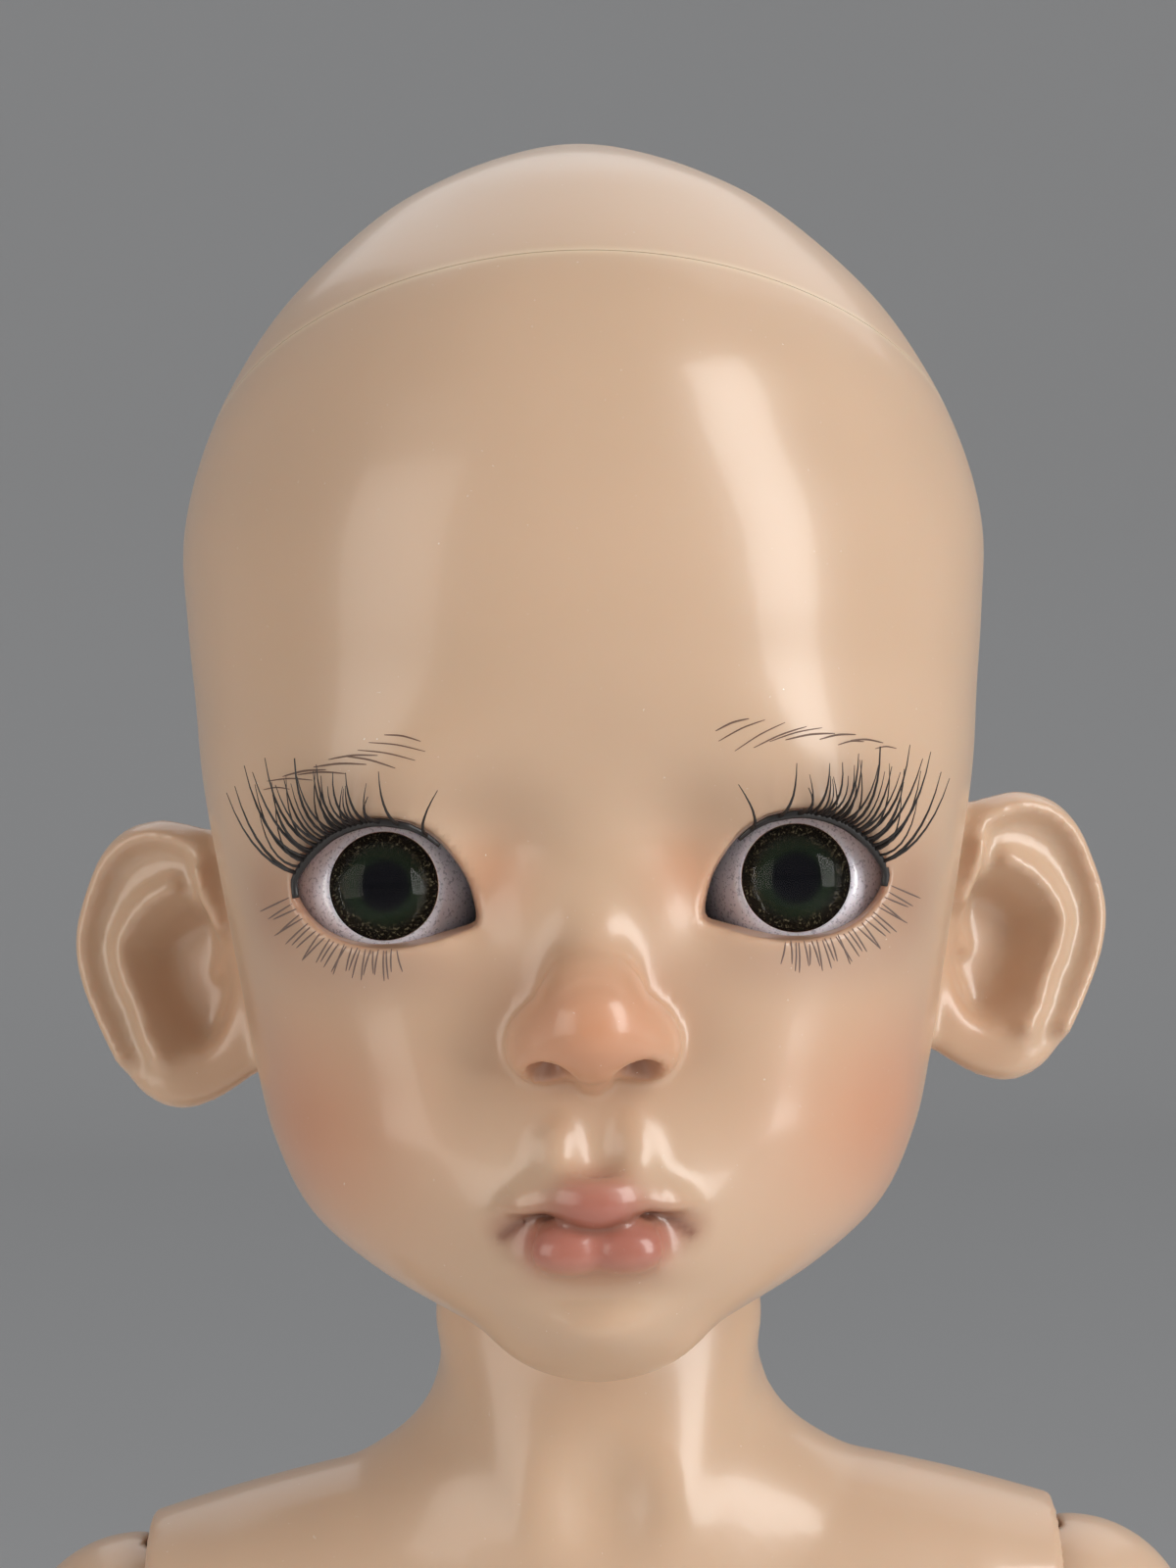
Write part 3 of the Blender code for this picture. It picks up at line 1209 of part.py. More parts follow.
def shoulder_slot(side, shoulder):
    """A slot from the ball's body side over its top, fanned so that the arm can twist."""
    reach = 2 * SHOULDER_BALL_RADIUS
    fan = CHANNEL_RADIUS + reach * math.tan(SHOULDER_TWIST)
    far = CHANNEL_RADIUS / 2
    rings = []
    for height, wide in ((-CHANNEL_RADIUS, fan), (CHANNEL_RADIUS, fan), (reach, CHANNEL_RADIUS)):
        rings.append([shoulder + Vector((side * far, -CHANNEL_RADIUS, height)),
                      shoulder + Vector((side * far, CHANNEL_RADIUS, height)),
                      shoulder + Vector((-side * reach, wide, height)),
                      shoulder + Vector((-side * reach, -wide, height))])
    return loft_mesh("shoulder_slot", rings)


def hook_mesh(name, top, pivot):
    """A bent wire from a cord's end down to the middle of a ball."""
    wire = [top - Vector((0, -WIRE_RADIUS, JOINT_GAP + WIRE_RADIUS)),
            top - Vector((0, 0, JOINT_GAP + WIRE_RADIUS * 2)),
            pivot, pivot - Vector((0, WIRE_RADIUS / 2, WIRE_RADIUS / 2))]
    return tube_mesh(name, wire, WIRE_RADIUS, resolution=1)


def build_arm_strings(side, shoulder, elbow, wrist):
    name = side_name(side)
    end = cord_end()
    middle = Vector((side * CHEST_HOLLOW_RADIUS / 2, BODY_AXIS_Y, SHOULDER_Z))
    cord(f"shoulder_elastic_{name}", [middle, shoulder - Vector((side * end, 0, 0))])
    upper = elbow + Vector((0, 0, ELBOW_HALF_SPAN))
    lower = elbow - Vector((0, 0, ELBOW_HALF_SPAN))
    down = Vector((0, 0, -end))
    cord(f"upper_arm_elastic_{name}", [shoulder + down, upper - down])
    cord(f"elbow_elastic_{name}", [upper + down, lower - down])
    hook_top = wrist + Vector((0, 0, WRIST_BALL_RADIUS + CHANNEL_RADIUS))
    cord(f"forearm_elastic_{name}", [lower + down, hook_top])
    add_mesh(f"wrist_hook_{name}", hook_mesh("wrist_hook", hook_top, wrist), steel())


HOOK_SLOT_SHARE = 0.6


def hook_slot(name, pivot, ball_radius, along):
    """A slot across the top half of a ball, for the wire hook that holds it."""
    half = CHANNEL_RADIUS * HOOK_SLOT_SHARE
    reach = 2 * ball_radius
    across = Vector((reach, half, 0)) if along == "X" else Vector((half, reach, 0))
    floor = Vector((0, 0, -WIRE_RADIUS * 2 - JOINT_GAP))
    return box_mesh(name, pivot - across + floor, pivot + across + Vector((0, 0, reach)))


# Stations of the palm: shares of its length, of its half width and half
# thickness, and how far its middle leans to the thumb as a share of half width.
PALM_SHARES = (
    (0.00, 0.50, 0.95, 0.00), (0.25, 0.80, 1.05, 0.06), (0.55, 1.00, 1.02, 0.05),
    (0.85, 1.00, 0.86, 0.00), (1.00, 0.86, 0.62, 0.00),
)
FINGER_PLACE_SHARES = ((-0.74, 0.90, 0.93), (-0.25, 1.00, 1.0), (0.25, 0.94, 0.97), (0.73, 0.76, 0.87))
FINGER_BEND_SHARES = ((0.00, 0.00), (0.35, 0.02), (0.70, 0.10), (0.94, 0.22), (1.00, 0.25))
FINGER_TAPER_SHARES = (1.0, 1.0, 0.93, 0.72, 0.35)
FINGER_CURL_SHARE = 0.5
KNUCKLE_SHARE = 0.86
# The thumb's root in shares of the palm's half thickness, half width and
# length, and the way that it points.
THUMB_ROOT_SHARES = (0.30, 0.55, 0.22)
THUMB_WAY_SHARES = (0.25, 0.62, 0.75)


def build_hand(side, wrist):
    """Ball, palm, four fingers and a thumb; the palm faces the thigh."""
    name = f"hand_{side_name(side)}"
    stations = limb_top(wrist.z, WRIST_BALL_RADIUS, WRIST_NECK_RADIUS, 4)
    stations.append((wrist.z - PALM_START - CUT_OVERRUN, WRIST_NECK_RADIUS, WRIST_NECK_RADIUS,
                     WRIST_NECK_RADIUS))
    hand = add_mesh(name, loft_mesh(name, limb_rings(wrist.x, wrist.y, stations, 12)), resin())
    top = wrist.z - PALM_START
    rings = []
    for down, wide, thick, lean in PALM_SHARES:
        ring = []
        for i in range(12):
            turn = 2 * math.pi * i / 12
            ring.append(Vector((
                wrist.x + thick * PALM_HALF_THICKNESS * math.sin(turn),
                wrist.y + PALM_HALF_WIDTH * (wide * math.cos(turn) - lean),
                top - down * PALM_LENGTH)))
        rings.append(ring)
    shape(hand, as_tool("palm", loft_mesh("palm", rings)), "UNION")
    knuckles = top - PALM_LENGTH * KNUCKLE_SHARE
    for place, long, thick in FINGER_PLACE_SHARES:
        base = Vector((wrist.x, wrist.y + place * PALM_HALF_WIDTH, knuckles))
        curl = FINGER_LENGTH * FINGER_CURL_SHARE
        points = [base + Vector((-side * bend * curl, 0, -down * FINGER_LENGTH * long))
                  for down, bend in FINGER_BEND_SHARES]
        finger = tube_mesh("finger", points, FINGER_RADIUS * thick, FINGER_TAPER_SHARES, 1)
        shape(hand, as_tool("finger", finger), "UNION")
    inward, forward, down_palm = THUMB_ROOT_SHARES
    root = Vector((wrist.x - side * PALM_HALF_THICKNESS * inward, wrist.y - PALM_HALF_WIDTH * forward,
                   top - PALM_LENGTH * down_palm))
    away = Vector([-share for share in THUMB_WAY_SHARES]).normalized()
    away.x *= side
    curl = THUMB_LENGTH * FINGER_CURL_SHARE
    points = [root + away * down * THUMB_LENGTH + Vector((0, 0, -bend * curl))
              for down, bend in FINGER_BEND_SHARES]
    thumb = tube_mesh("thumb", points, THUMB_RADIUS, FINGER_TAPER_SHARES, 1)
    shape(hand, as_tool("thumb", thumb), "UNION")
    shape(hand, as_tool("hand_slot", hook_slot("hand_slot", wrist, WRIST_BALL_RADIUS, "X")))


HIP_BACK_SLOT_SHARE = 0.7
HIP_RAISE_SLOT_SHARE = 0.8
HIP_STUB_SHARE = 0.8


def build_leg(side):
    name = side_name(side)
    hip = pivot_at(side, HIP_X, HIP_Z)
    knee = pivot_at(side, HIP_X, KNEE_Z)
    ankle = pivot_at(side, HIP_X, ANKLE_Z)
    stations = limb_top(HIP_Z, HIP_BALL_RADIUS, HIP_NECK_RADIUS)
    neck_end = HIP_Z - PELVIS_HALF_DEPTH - JOINT_GAP
    stations.append((neck_end, HIP_NECK_RADIUS, HIP_NECK_RADIUS, HIP_NECK_RADIUS))
    stations.extend(rows_below(HIP_Z, THIGH_LENGTH, THIGH_RADIUS, THIGH_SHARES))
    sizes = (KNEE_BALL_RADIUS, KNEE_END_RADIUS, KNEE_HALF_SPAN, -KNEE_RIM_LOW, KNEE_RIM_HIGH)
    thigh = upper_limb(f"thigh_{name}", hip, stations, KNEE_Z, sizes, resin())
    high = 2 * HIP_BALL_RADIUS
    spare = CHANNEL_RADIUS * HIP_BACK_SLOT_SHARE
    back = HIP_BALL_RADIUS * math.sin(HIP_BACK_SWING) + spare
    slot = box_mesh("hip_slot", hip + Vector((-CHANNEL_RADIUS, -high, -spare)),
                    hip + Vector((CHANNEL_RADIUS, back, high)))
    shape(thigh, as_tool("hip_slot", slot))
    outward = HIP_BALL_RADIUS * math.sin(HIP_RAISE) + CHANNEL_RADIUS * HIP_RAISE_SLOT_SHARE
    across = (-side * CHANNEL_RADIUS, side * outward)
    notch = box_mesh("hip_raise_slot", hip + Vector((min(across), -CHANNEL_RADIUS, CHANNEL_RADIUS)),
                     hip + Vector((max(across), CHANNEL_RADIUS, high)))
    shape(thigh, as_tool("hip_raise_slot", notch))
    shape(thigh, as_tool("hip_flare", sphere_mesh(
        "hip_flare", hip, HIP_FLARE_RADIUS, 8, 6)))
    double_joint(f"knee_joint_{name}", knee, KNEE_HALF_SPAN, KNEE_BALL_RADIUS, 1, resin())
    rows = rows_below(KNEE_Z, SHIN_LENGTH, CALF_RADIUS, CALF_SHARES)
    rows.append((ANKLE_Z + ANKLE_RIM, ANKLE_END_RADIUS, ANKLE_END_RADIUS, ANKLE_END_RADIUS))
    sizes = (KNEE_BALL_RADIUS, KNEE_END_RADIUS, KNEE_HALF_SPAN, KNEE_RIM_LOW, -KNEE_RIM_HIGH,
             ANKLE_BALL_RADIUS)
    lower_limb(f"calf_{name}", knee, rows, ANKLE_Z, sizes, resin())
    build_foot(side, ankle)
    build_leg_strings(side, hip, knee, ankle)


def build_leg_strings(side, hip, knee, ankle):
    name = side_name(side)
    end = cord_end()
    down = Vector((0, 0, -end))
    stub = (HIP_FLARE_RADIUS * HIP_STUB_SHARE - end - JOINT_GAP) / 2
    cord(f"hip_cord_upper_{name}", [hip + down, hip + down - Vector((0, 0, stub))])
    lower_stub = hip + down - Vector((0, 0, stub + JOINT_GAP))
    cord(f"hip_cord_lower_{name}", [lower_stub, lower_stub - Vector((0, 0, stub))])
    upper = knee + Vector((0, 0, KNEE_HALF_SPAN))
    lower = knee - Vector((0, 0, KNEE_HALF_SPAN))
    cord(f"thigh_elastic_{name}", [lower_stub - Vector((0, 0, stub + JOINT_GAP)), upper - down])
    cord(f"knee_elastic_{name}", [upper + down, lower - down])
    hook_top = ankle + Vector((0, 0, ANKLE_BALL_RADIUS + CHANNEL_RADIUS))
    cord(f"calf_elastic_{name}", [lower + down, hook_top])
    add_mesh(f"ankle_hook_{name}", hook_mesh("ankle_hook", hook_top, ankle), steel())


# Sections of the foot from heel to toes: shares of the reach along it, of its
# half width, of its height, and how far the middle leans to the big toe.
FOOT_SHARES = (
    (0.00, 0.42, 0.42, 0.00), (0.06, 0.66, 0.76, 0.00), (0.18, 0.74, 0.98, 0.00),
    (0.34, 0.72, 1.00, 0.00), (0.50, 0.80, 0.86, 0.02), (0.66, 0.94, 0.66, 0.05),
    (0.80, 1.00, 0.50, 0.08), (0.90, 0.97, 0.40, 0.08), (0.955, 0.86, 0.30, 0.08),
)
TOE_PLACE_SHARES = (
    (-0.66, 0.93, 1.30), (-0.14, 0.955, 0.92), (0.26, 0.94, 0.86), (0.60, 0.91, 0.80),
    (0.90, 0.865, 0.74),
)


ANKLE_ROOT_SHARE = 0.5
TOE_LIFT_SHARE = 0.92
TOE_STRETCH_SHARE = 1.7
# A foot's section: the arch's lowest edge, its rise above that and how round
# it is, then how wide the flat sole is.
ARCH_SHARES = (0.14, 0.86, 0.8)
SOLE_SHARE = 0.84


def build_foot(side, ankle):
    """Ball, ankle and a flat-soled foot with five toes; the big toe is on the inside."""
    name = f"foot_{side_name(side)}"
    length = FOOT_TOE_REACH + FOOT_HEEL_REACH
    rings = []
    for along, wide, tall, lean in FOOT_SHARES:
        y = BODY_AXIS_Y + FOOT_HEEL_REACH - along * length
        middle = ankle.x - side * lean * FOOT_HALF_WIDTH
        rings.append(foot_ring(middle, y, wide * FOOT_HALF_WIDTH, tall * FOOT_HEIGHT))
    foot = add_mesh(name, loft_mesh(name, rings), resin())
    stations = limb_top(ankle.z, ANKLE_BALL_RADIUS, ANKLE_NECK_RADIUS, 5)
    root = FOOT_HEIGHT * ANKLE_ROOT_SHARE
    stations.append((root, ANKLE_NECK_RADIUS, ANKLE_NECK_RADIUS, ANKLE_NECK_RADIUS))
    ball = loft_mesh("ankle_ball", limb_rings(ankle.x, ankle.y, stations))
    shape(foot, as_tool("ankle_ball", ball), "UNION")
    for across, along, size in TOE_PLACE_SHARES:
        radius = TOE_RADIUS * size
        centre = Vector((ankle.x + side * across * FOOT_HALF_WIDTH,
                         BODY_AXIS_Y + FOOT_HEEL_REACH - along * length, radius * TOE_LIFT_SHARE))
        toe = sphere_mesh("toe", centre, (radius, radius * TOE_STRETCH_SHARE, radius), 8, 5)
        shape(foot, as_tool("toe", toe), "UNION")
    reach = 2 * length
    under = box_mesh("under_sole", (ankle.x - reach, -reach, -reach), (ankle.x + reach, reach, 0))
    shape(foot, as_tool("under_sole", under))
    shape(foot, as_tool("foot_slot", hook_slot("foot_slot", ankle, ANKLE_BALL_RADIUS, "Y")))


def foot_ring(x, y, half_width, height):
    """A section across the foot: a flat sole with an arch of the given height over it."""
    edge, rise, power = ARCH_SHARES
    ring = []
    for i in range(FOOT_ARCH_STEPS + 1):
        turn = math.pi * i / FOOT_ARCH_STEPS
        ring.append(Vector((x + half_width * math.cos(turn), y,
                            height * (edge + rise * math.sin(turn) ** power))))
    ring.append(Vector((x - half_width * SOLE_SHARE, y, 0)))
    ring.append(Vector((x + half_width * SOLE_SHARE, y, 0)))
    return ring


HOOK_BEND_SHARE = 2.0
HOOK_FOOT_SHARES = ((1.5, 1.5), (3.0, 0.5))


def build_core_strings():
    """The neck's hook, and the elastic from it through the torso to both hips."""
    neck = Vector((0, BODY_AXIS_Y, NECK_Z))
    floor = NECK_PIVOT_BELOW_CHIN + HEAD_FLOOR_HEIGHT
    bar = neck + Vector((0, 0, (floor + JOINT_GAP / 2 + WIRE_RADIUS) / math.cos(HEAD_TILT)))
    foot = neck - Vector((0, 0, NECK_HOOK_DROP))
    bend = HOOK_BEND_SHARE * WIRE_RADIUS
    wire = [bar - Vector((0, NECK_HOOK_REACH, 0)), bar - Vector((0, bend, 0))]
    wire += [bar - Vector((0, 0, bend)), neck, foot]
    wire += [foot + WIRE_RADIUS * Vector((0, across, -down)) for across, down in HOOK_FOOT_SHARES]
    add_mesh("neck_hook", tube_mesh("neck_hook", wire, WIRE_RADIUS, resolution=1), steel())
    under_hook = Vector((0, BODY_AXIS_Y, foot.z - WIRE_RADIUS * 3))
    waist = Vector((0, BODY_AXIS_Y, WAIST_Z))
    split = waist + Vector((0, 0, WAIST_CORD_REACH))
    cord("neck_elastic", [under_hook, split + Vector((0, 0, JOINT_GAP))])
    apex = waist - Vector((0, 0, 2 * cord_end()))
    cord("torso_elastic", [split, apex + Vector((0, 0, ELASTIC_RADIUS + JOINT_GAP))])
    halves = []
    for side in (-1, 1):
        hip = pivot_at(side, HIP_X, HIP_Z)
        bend = hip + Vector((0, 0, HIP_BALL_RADIUS + 2 * CUT_OVERRUN))
        halves.append([hip + Vector((0, 0, cord_end())), bend,
                       apex + Vector((side * WAIST_CORD_SPREAD, 0, 0))])
    cord("hip_elastic", halves[0] + halves[1][::-1])


# Each moving body's pivot, and the nodes that it carries

def body_table():
    """Body name: the turn that its rest pose has, its pivot before that, its nodes."""
    still = Matrix.Identity(4)
    neck = Vector((0, BODY_AXIS_Y, NECK_Z))
    waist = Vector((0, BODY_AXIS_Y, WAIST_Z))
    table = {
        "waist_turn": (still, waist, ["torso_elastic"]),
        "chest_body": (still, waist, ["chest"]),
        "neck_turn": (still, neck, ["neck_elastic"]),
        "neck_nod": (still, neck, ["neck_hook"]),
        "head_body": (still, neck, ["head_shell", "head_magnet_front", "head_magnet_back"] + [
            f"{part}_{side_name(side)}" for part in ("eyeball", "iris", "cornea", "eye_putty", "lashes")
            for side in (-1, 1)]),
        "cap_body": (still, seam_point(), ["head_cap", "cap_magnet_front", "cap_magnet_back"]),
    }
    for side in (-1, 1):
        name = side_name(side)
        lean = arm_lean(side)
        shoulder = pivot_at(side, SHOULDER_X, SHOULDER_Z)
        elbow = pivot_at(side, SHOULDER_X, ELBOW_Z)
        wrist = pivot_at(side, SHOULDER_X, WRIST_Z)
        hip = pivot_at(side, HIP_X, HIP_Z)
        knee = pivot_at(side, HIP_X, KNEE_Z)
        ankle = pivot_at(side, HIP_X, ANKLE_Z)
        elbow_step = Vector((0, 0, ELBOW_HALF_SPAN))
        knee_step = Vector((0, 0, KNEE_HALF_SPAN))
        table.update({
            f"shoulder_swing_{name}": (still, shoulder, [f"shoulder_elastic_{name}"]),
            f"shoulder_raise_{name}": (lean, shoulder, [f"upper_arm_elastic_{name}"]),
            f"upper_arm_body_{name}": (lean, shoulder, [f"upper_arm_{name}"]),
            f"elbow_body_{name}": (lean, elbow + elbow_step, [
                f"elbow_joint_{name}", f"elbow_elastic_{name}"]),
            f"forearm_body_{name}": (lean, elbow - elbow_step, [
                f"forearm_{name}", f"forearm_elastic_{name}"]),
            f"wrist_turn_{name}": (lean, wrist, [f"wrist_hook_{name}"]),
            f"hand_body_{name}": (lean, wrist, [f"hand_{name}"]),
            f"hip_turn_{name}": (still, hip, [f"hip_cord_upper_{name}"]),
            f"hip_swing_{name}": (still, hip, [f"hip_cord_lower_{name}"]),
            f"thigh_body_{name}": (still, hip, [f"thigh_{name}", f"thigh_elastic_{name}"]),
            f"knee_body_{name}": (still, knee + knee_step, [
                f"knee_joint_{name}", f"knee_elastic_{name}"]),
            f"calf_body_{name}": (still, knee - knee_step, [f"calf_{name}", f"calf_elastic_{name}"]),
            f"ankle_turn_{name}": (still, ankle, [f"ankle_hook_{name}"]),
            f"foot_body_{name}": (still, ankle, [f"foot_{name}"]),
        })
    return table


def hang_on_pivots():
    """Parent each piece to an empty on its joint, with its origin there."""
    for name, (rest_turn, pivot, nodes) in body_table().items():
        handle = bpy.data.objects.new(f"pivot_{name}", None)
        PARTS.objects.link(handle)
        handle.matrix_world = rest_turn @ Matrix.Translation(pivot)
        handle.empty_display_size = JOINT_GAP
        for node in nodes:
            piece = bpy.data.objects[node]
            piece.data.transform(Matrix.Translation(-pivot))
            piece.parent = handle


def main():
    global PARTS, CUTTERS
    clear_scene()
    PARTS = new_collection("ball_jointed_doll")
    CUTTERS = new_collection("cutters")
    build_head()
    for side in (-1, 1):
        build_eye(side)
        build_lashes(side)
    build_chest()
    build_pelvis()
    for side in (-1, 1):
        build_arm(side)
        build_leg(side)
    build_core_strings()
    smooth_by_angle()
    hang_on_pivots()


main()
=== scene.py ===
# The ball jointed doll's visual model: smooth cast resin forms, painted face,
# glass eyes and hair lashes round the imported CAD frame. Lengths in the tables
# are in millimetres; +Z is up, the doll faces -Y and its left side is at +X.

import json
import math

import bmesh
import bpy
import numpy as np
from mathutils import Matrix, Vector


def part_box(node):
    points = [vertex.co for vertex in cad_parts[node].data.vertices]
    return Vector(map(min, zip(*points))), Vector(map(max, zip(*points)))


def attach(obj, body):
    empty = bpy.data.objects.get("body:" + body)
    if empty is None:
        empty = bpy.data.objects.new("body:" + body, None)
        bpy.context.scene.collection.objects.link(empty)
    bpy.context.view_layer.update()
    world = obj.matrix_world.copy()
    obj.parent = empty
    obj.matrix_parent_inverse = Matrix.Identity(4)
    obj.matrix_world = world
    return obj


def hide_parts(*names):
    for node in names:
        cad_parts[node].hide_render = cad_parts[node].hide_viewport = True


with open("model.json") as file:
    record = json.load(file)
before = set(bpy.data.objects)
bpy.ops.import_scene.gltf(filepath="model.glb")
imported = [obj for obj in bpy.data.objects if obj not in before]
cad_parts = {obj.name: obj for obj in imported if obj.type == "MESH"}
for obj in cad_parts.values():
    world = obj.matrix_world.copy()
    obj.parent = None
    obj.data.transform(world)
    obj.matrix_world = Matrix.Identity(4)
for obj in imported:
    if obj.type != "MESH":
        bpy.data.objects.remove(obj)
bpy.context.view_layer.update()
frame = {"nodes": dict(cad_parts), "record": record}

import openvdb
from mathutils import Matrix, Vector
from mathutils.bvhtree import BVHTree

MM = 0.001

# Pivots and places that the CAD model has
BODY_Y = 6.0
HEAD_Y = 5.0
ANKLE_Z = 26.0
KNEE_Z = 112.0
HIP_Z = 198.0
WAIST_Z = 249.0
SHOULDER_Z = 325.5
CHIN_Z = 350.4
NECK_Z = 349.4
ELBOW_Z = 262.0
WRIST_Z = 205.0
SHOULDER_X = 35.4
HIP_X = 16.5
ARM_LEAN = math.radians(12.0)
JOINT_GAP = 0.3

# Head
HEAD_HEIGHT = 89.6
HEAD_HALF_WIDTH = 30.1
HEAD_HALF_DEPTH = 34.3
HEAD_WALL = 4.5
HEAD_WALL_LEAST = 2.8
HEAD_FLOOR = 16.4
SEAM_FRONT = (-27.6, 78.1)
SEAM_SLOPE = math.radians(25.0)
SEAM_GAP = 0.06
MAGNET_RADIUS = 1.2
NECK_BALL_RADIUS = 13.0
NECK_HOLE_RADIUS = 4.9

# Eyes, in the head's own place
EYE = (14.4, -19.4, 34.1)
EYE_RADIUS = 7.8
IRIS_SEEN = 3.72
IRIS_PLANE = 6.7
IRIS_THICKNESS = 0.6
CORNEA_RADIUS = 3.82
CORNEA_RISE = 1.7
EYE_BACK_PLANE = 3.6

# The photograph's frame and camera: the picture is this many pixels, and the
# camera stands level this far in front of the eyes.
PHOTO_WIDTH = 1200
PHOTO_HEIGHT = 1600
CAMERA_Y = -321.0
CAMERA_Z = CHIN_Z + 40.95
CAMERA_LENS = 98.4
CAMERA_SENSOR = 36.0
CAMERA_ROLL = math.radians(-1.15)

FAR = 4.0


# Camera, floor and light

def look_at(thing, eye, target, roll=0.0):
    thing.location = Vector(eye) * MM
    way = (Vector(target) - Vector(eye)).to_track_quat("-Z", "Y").to_matrix().to_4x4()
    thing.rotation_euler = (way @ Matrix.Rotation(roll, 4, "Z")).to_euler()


def make_camera():
    data = bpy.data.cameras.new("camera")
    data.sensor_fit = "VERTICAL"
    data.sensor_height = CAMERA_SENSOR
    data.sensor_width = CAMERA_SENSOR
    data.lens = CAMERA_LENS
    data.clip_start = 0.01
    data.clip_end = 20.0
    camera = bpy.data.objects.new("camera", data)
    bpy.context.scene.collection.objects.link(camera)
    look_at(camera, (0, CAMERA_Y, CAMERA_Z), (0, 0, CAMERA_Z), CAMERA_ROLL)
    bpy.context.scene.camera = camera
    return camera


def area_light(name, place, target, size, power, colour):
    data = bpy.data.lights.new(name, "AREA")
    data.shape = "RECTANGLE"
    data.size, data.size_y = size
    data.energy = power
    data.color = colour
    lamp = bpy.data.objects.new(name, data)
    bpy.context.scene.collection.objects.link(lamp)
    look_at(lamp, place, target)
    return lamp


def make_stage():
    """A pale floor that curves up into a backdrop, under soft studio lamps."""
    profile = []
    for i in range(13):
        turn = math.pi / 2 * i / 12
        profile.append((4200 + 800 * math.sin(turn), 800 - 800 * math.cos(turn)))
    profile = [(-6000, 0)] + profile + [(5000, 4500)]
    vertices, faces = [], []
    for k, (y, z) in enumerate(profile):
        vertices += [(-6.0, y * MM, z * MM), (6.0, y * MM, z * MM)]
        if k:
            faces.append((2 * k - 2, 2 * k - 1, 2 * k + 1, 2 * k))
    mesh = bpy.data.meshes.new("studio_floor")
    mesh.from_pydata(vertices, [], faces)
    mesh.shade_smooth()
    floor = bpy.data.objects.new("studio_floor", mesh)
    bpy.context.scene.collection.objects.link(floor)
    paint = bpy.data.materials.new("studio_paper")
    paint.use_nodes = True
    shader = paint.node_tree.nodes["Principled BSDF"]
    shader.inputs["Base Color"].default_value = (0.78, 0.77, 0.76, 1)
    shader.inputs["Roughness"].default_value = 0.9
    mesh.materials.append(paint)
    world = bpy.data.worlds.new("studio")
    world.use_nodes = True
    world.node_tree.nodes["Background"].inputs["Color"].default_value = (0.93, 0.96, 1.0, 1)
    world.node_tree.nodes["Background"].inputs["Strength"].default_value = 0.30
    bpy.context.scene.world = world
    head = (0, 0, CHIN_Z + 30)
    area_light("key", (640, -470, 620), head, (0.35, 0.95), 7.4, (1.0, 0.99, 0.97))
    area_light("fill", (-620, -480, 480), head, (0.5, 0.7), 2.8, (1.0, 0.93, 0.85))
    area_light("top", (60, 420, 980), head, (0.9, 0.7), 1.9, (1.0, 1.0, 1.0))


# Materials

def new_material(name):
    made = bpy.data.materials.new(name)
    made.use_nodes = True
    tree = made.node_tree
    return made, tree, tree.nodes["Principled BSDF"]


def noise(tree, scale, detail=3.0, roughness=0.55):
    place = tree.nodes.new("ShaderNodeTexCoord")
    node = tree.nodes.new("ShaderNodeTexNoise")
    node.inputs["Scale"].default_value = scale
    node.inputs["Detail"].default_value = detail
    node.inputs["Roughness"].default_value = roughness
    tree.links.new(place.outputs["Object"], node.inputs["Vector"])
    return node


def ramp(tree, source, stops):
    node = tree.nodes.new("ShaderNodeValToRGB")
    while len(node.color_ramp.elements) < len(stops):
        node.color_ramp.elements.new(0.5)
    for element, (place, colour) in zip(node.color_ramp.elements, stops):
        element.position = place
        element.color = (*colour, 1)
    tree.links.new(source, node.inputs["Fac"])
    return node


def mix(tree, mode, first, second, share=1.0):
    node = tree.nodes.new("ShaderNodeMix")
    node.data_type = "RGBA"
    node.blend_type = mode
    if isinstance(share, float):
        node.inputs["Factor"].default_value = share
    else:
        tree.links.new(share, node.inputs["Factor"])
    for socket, value in ((node.inputs[6], first), (node.inputs[7], second)):
        if isinstance(value, tuple):
            socket.default_value = (*value, 1)
        else:
            tree.links.new(value, socket)
    return node.outputs[2]


def add_bump(tree, shader, height, strength, distance):
    bump = tree.nodes.new("ShaderNodeBump")
    bump.inputs["Strength"].default_value = strength
    bump.inputs["Distance"].default_value = distance
    tree.links.new(height, bump.inputs["Height"])
    tree.links.new(bump.outputs["Normal"], shader.inputs["Normal"])


RESIN = (0.560, 0.385, 0.262)


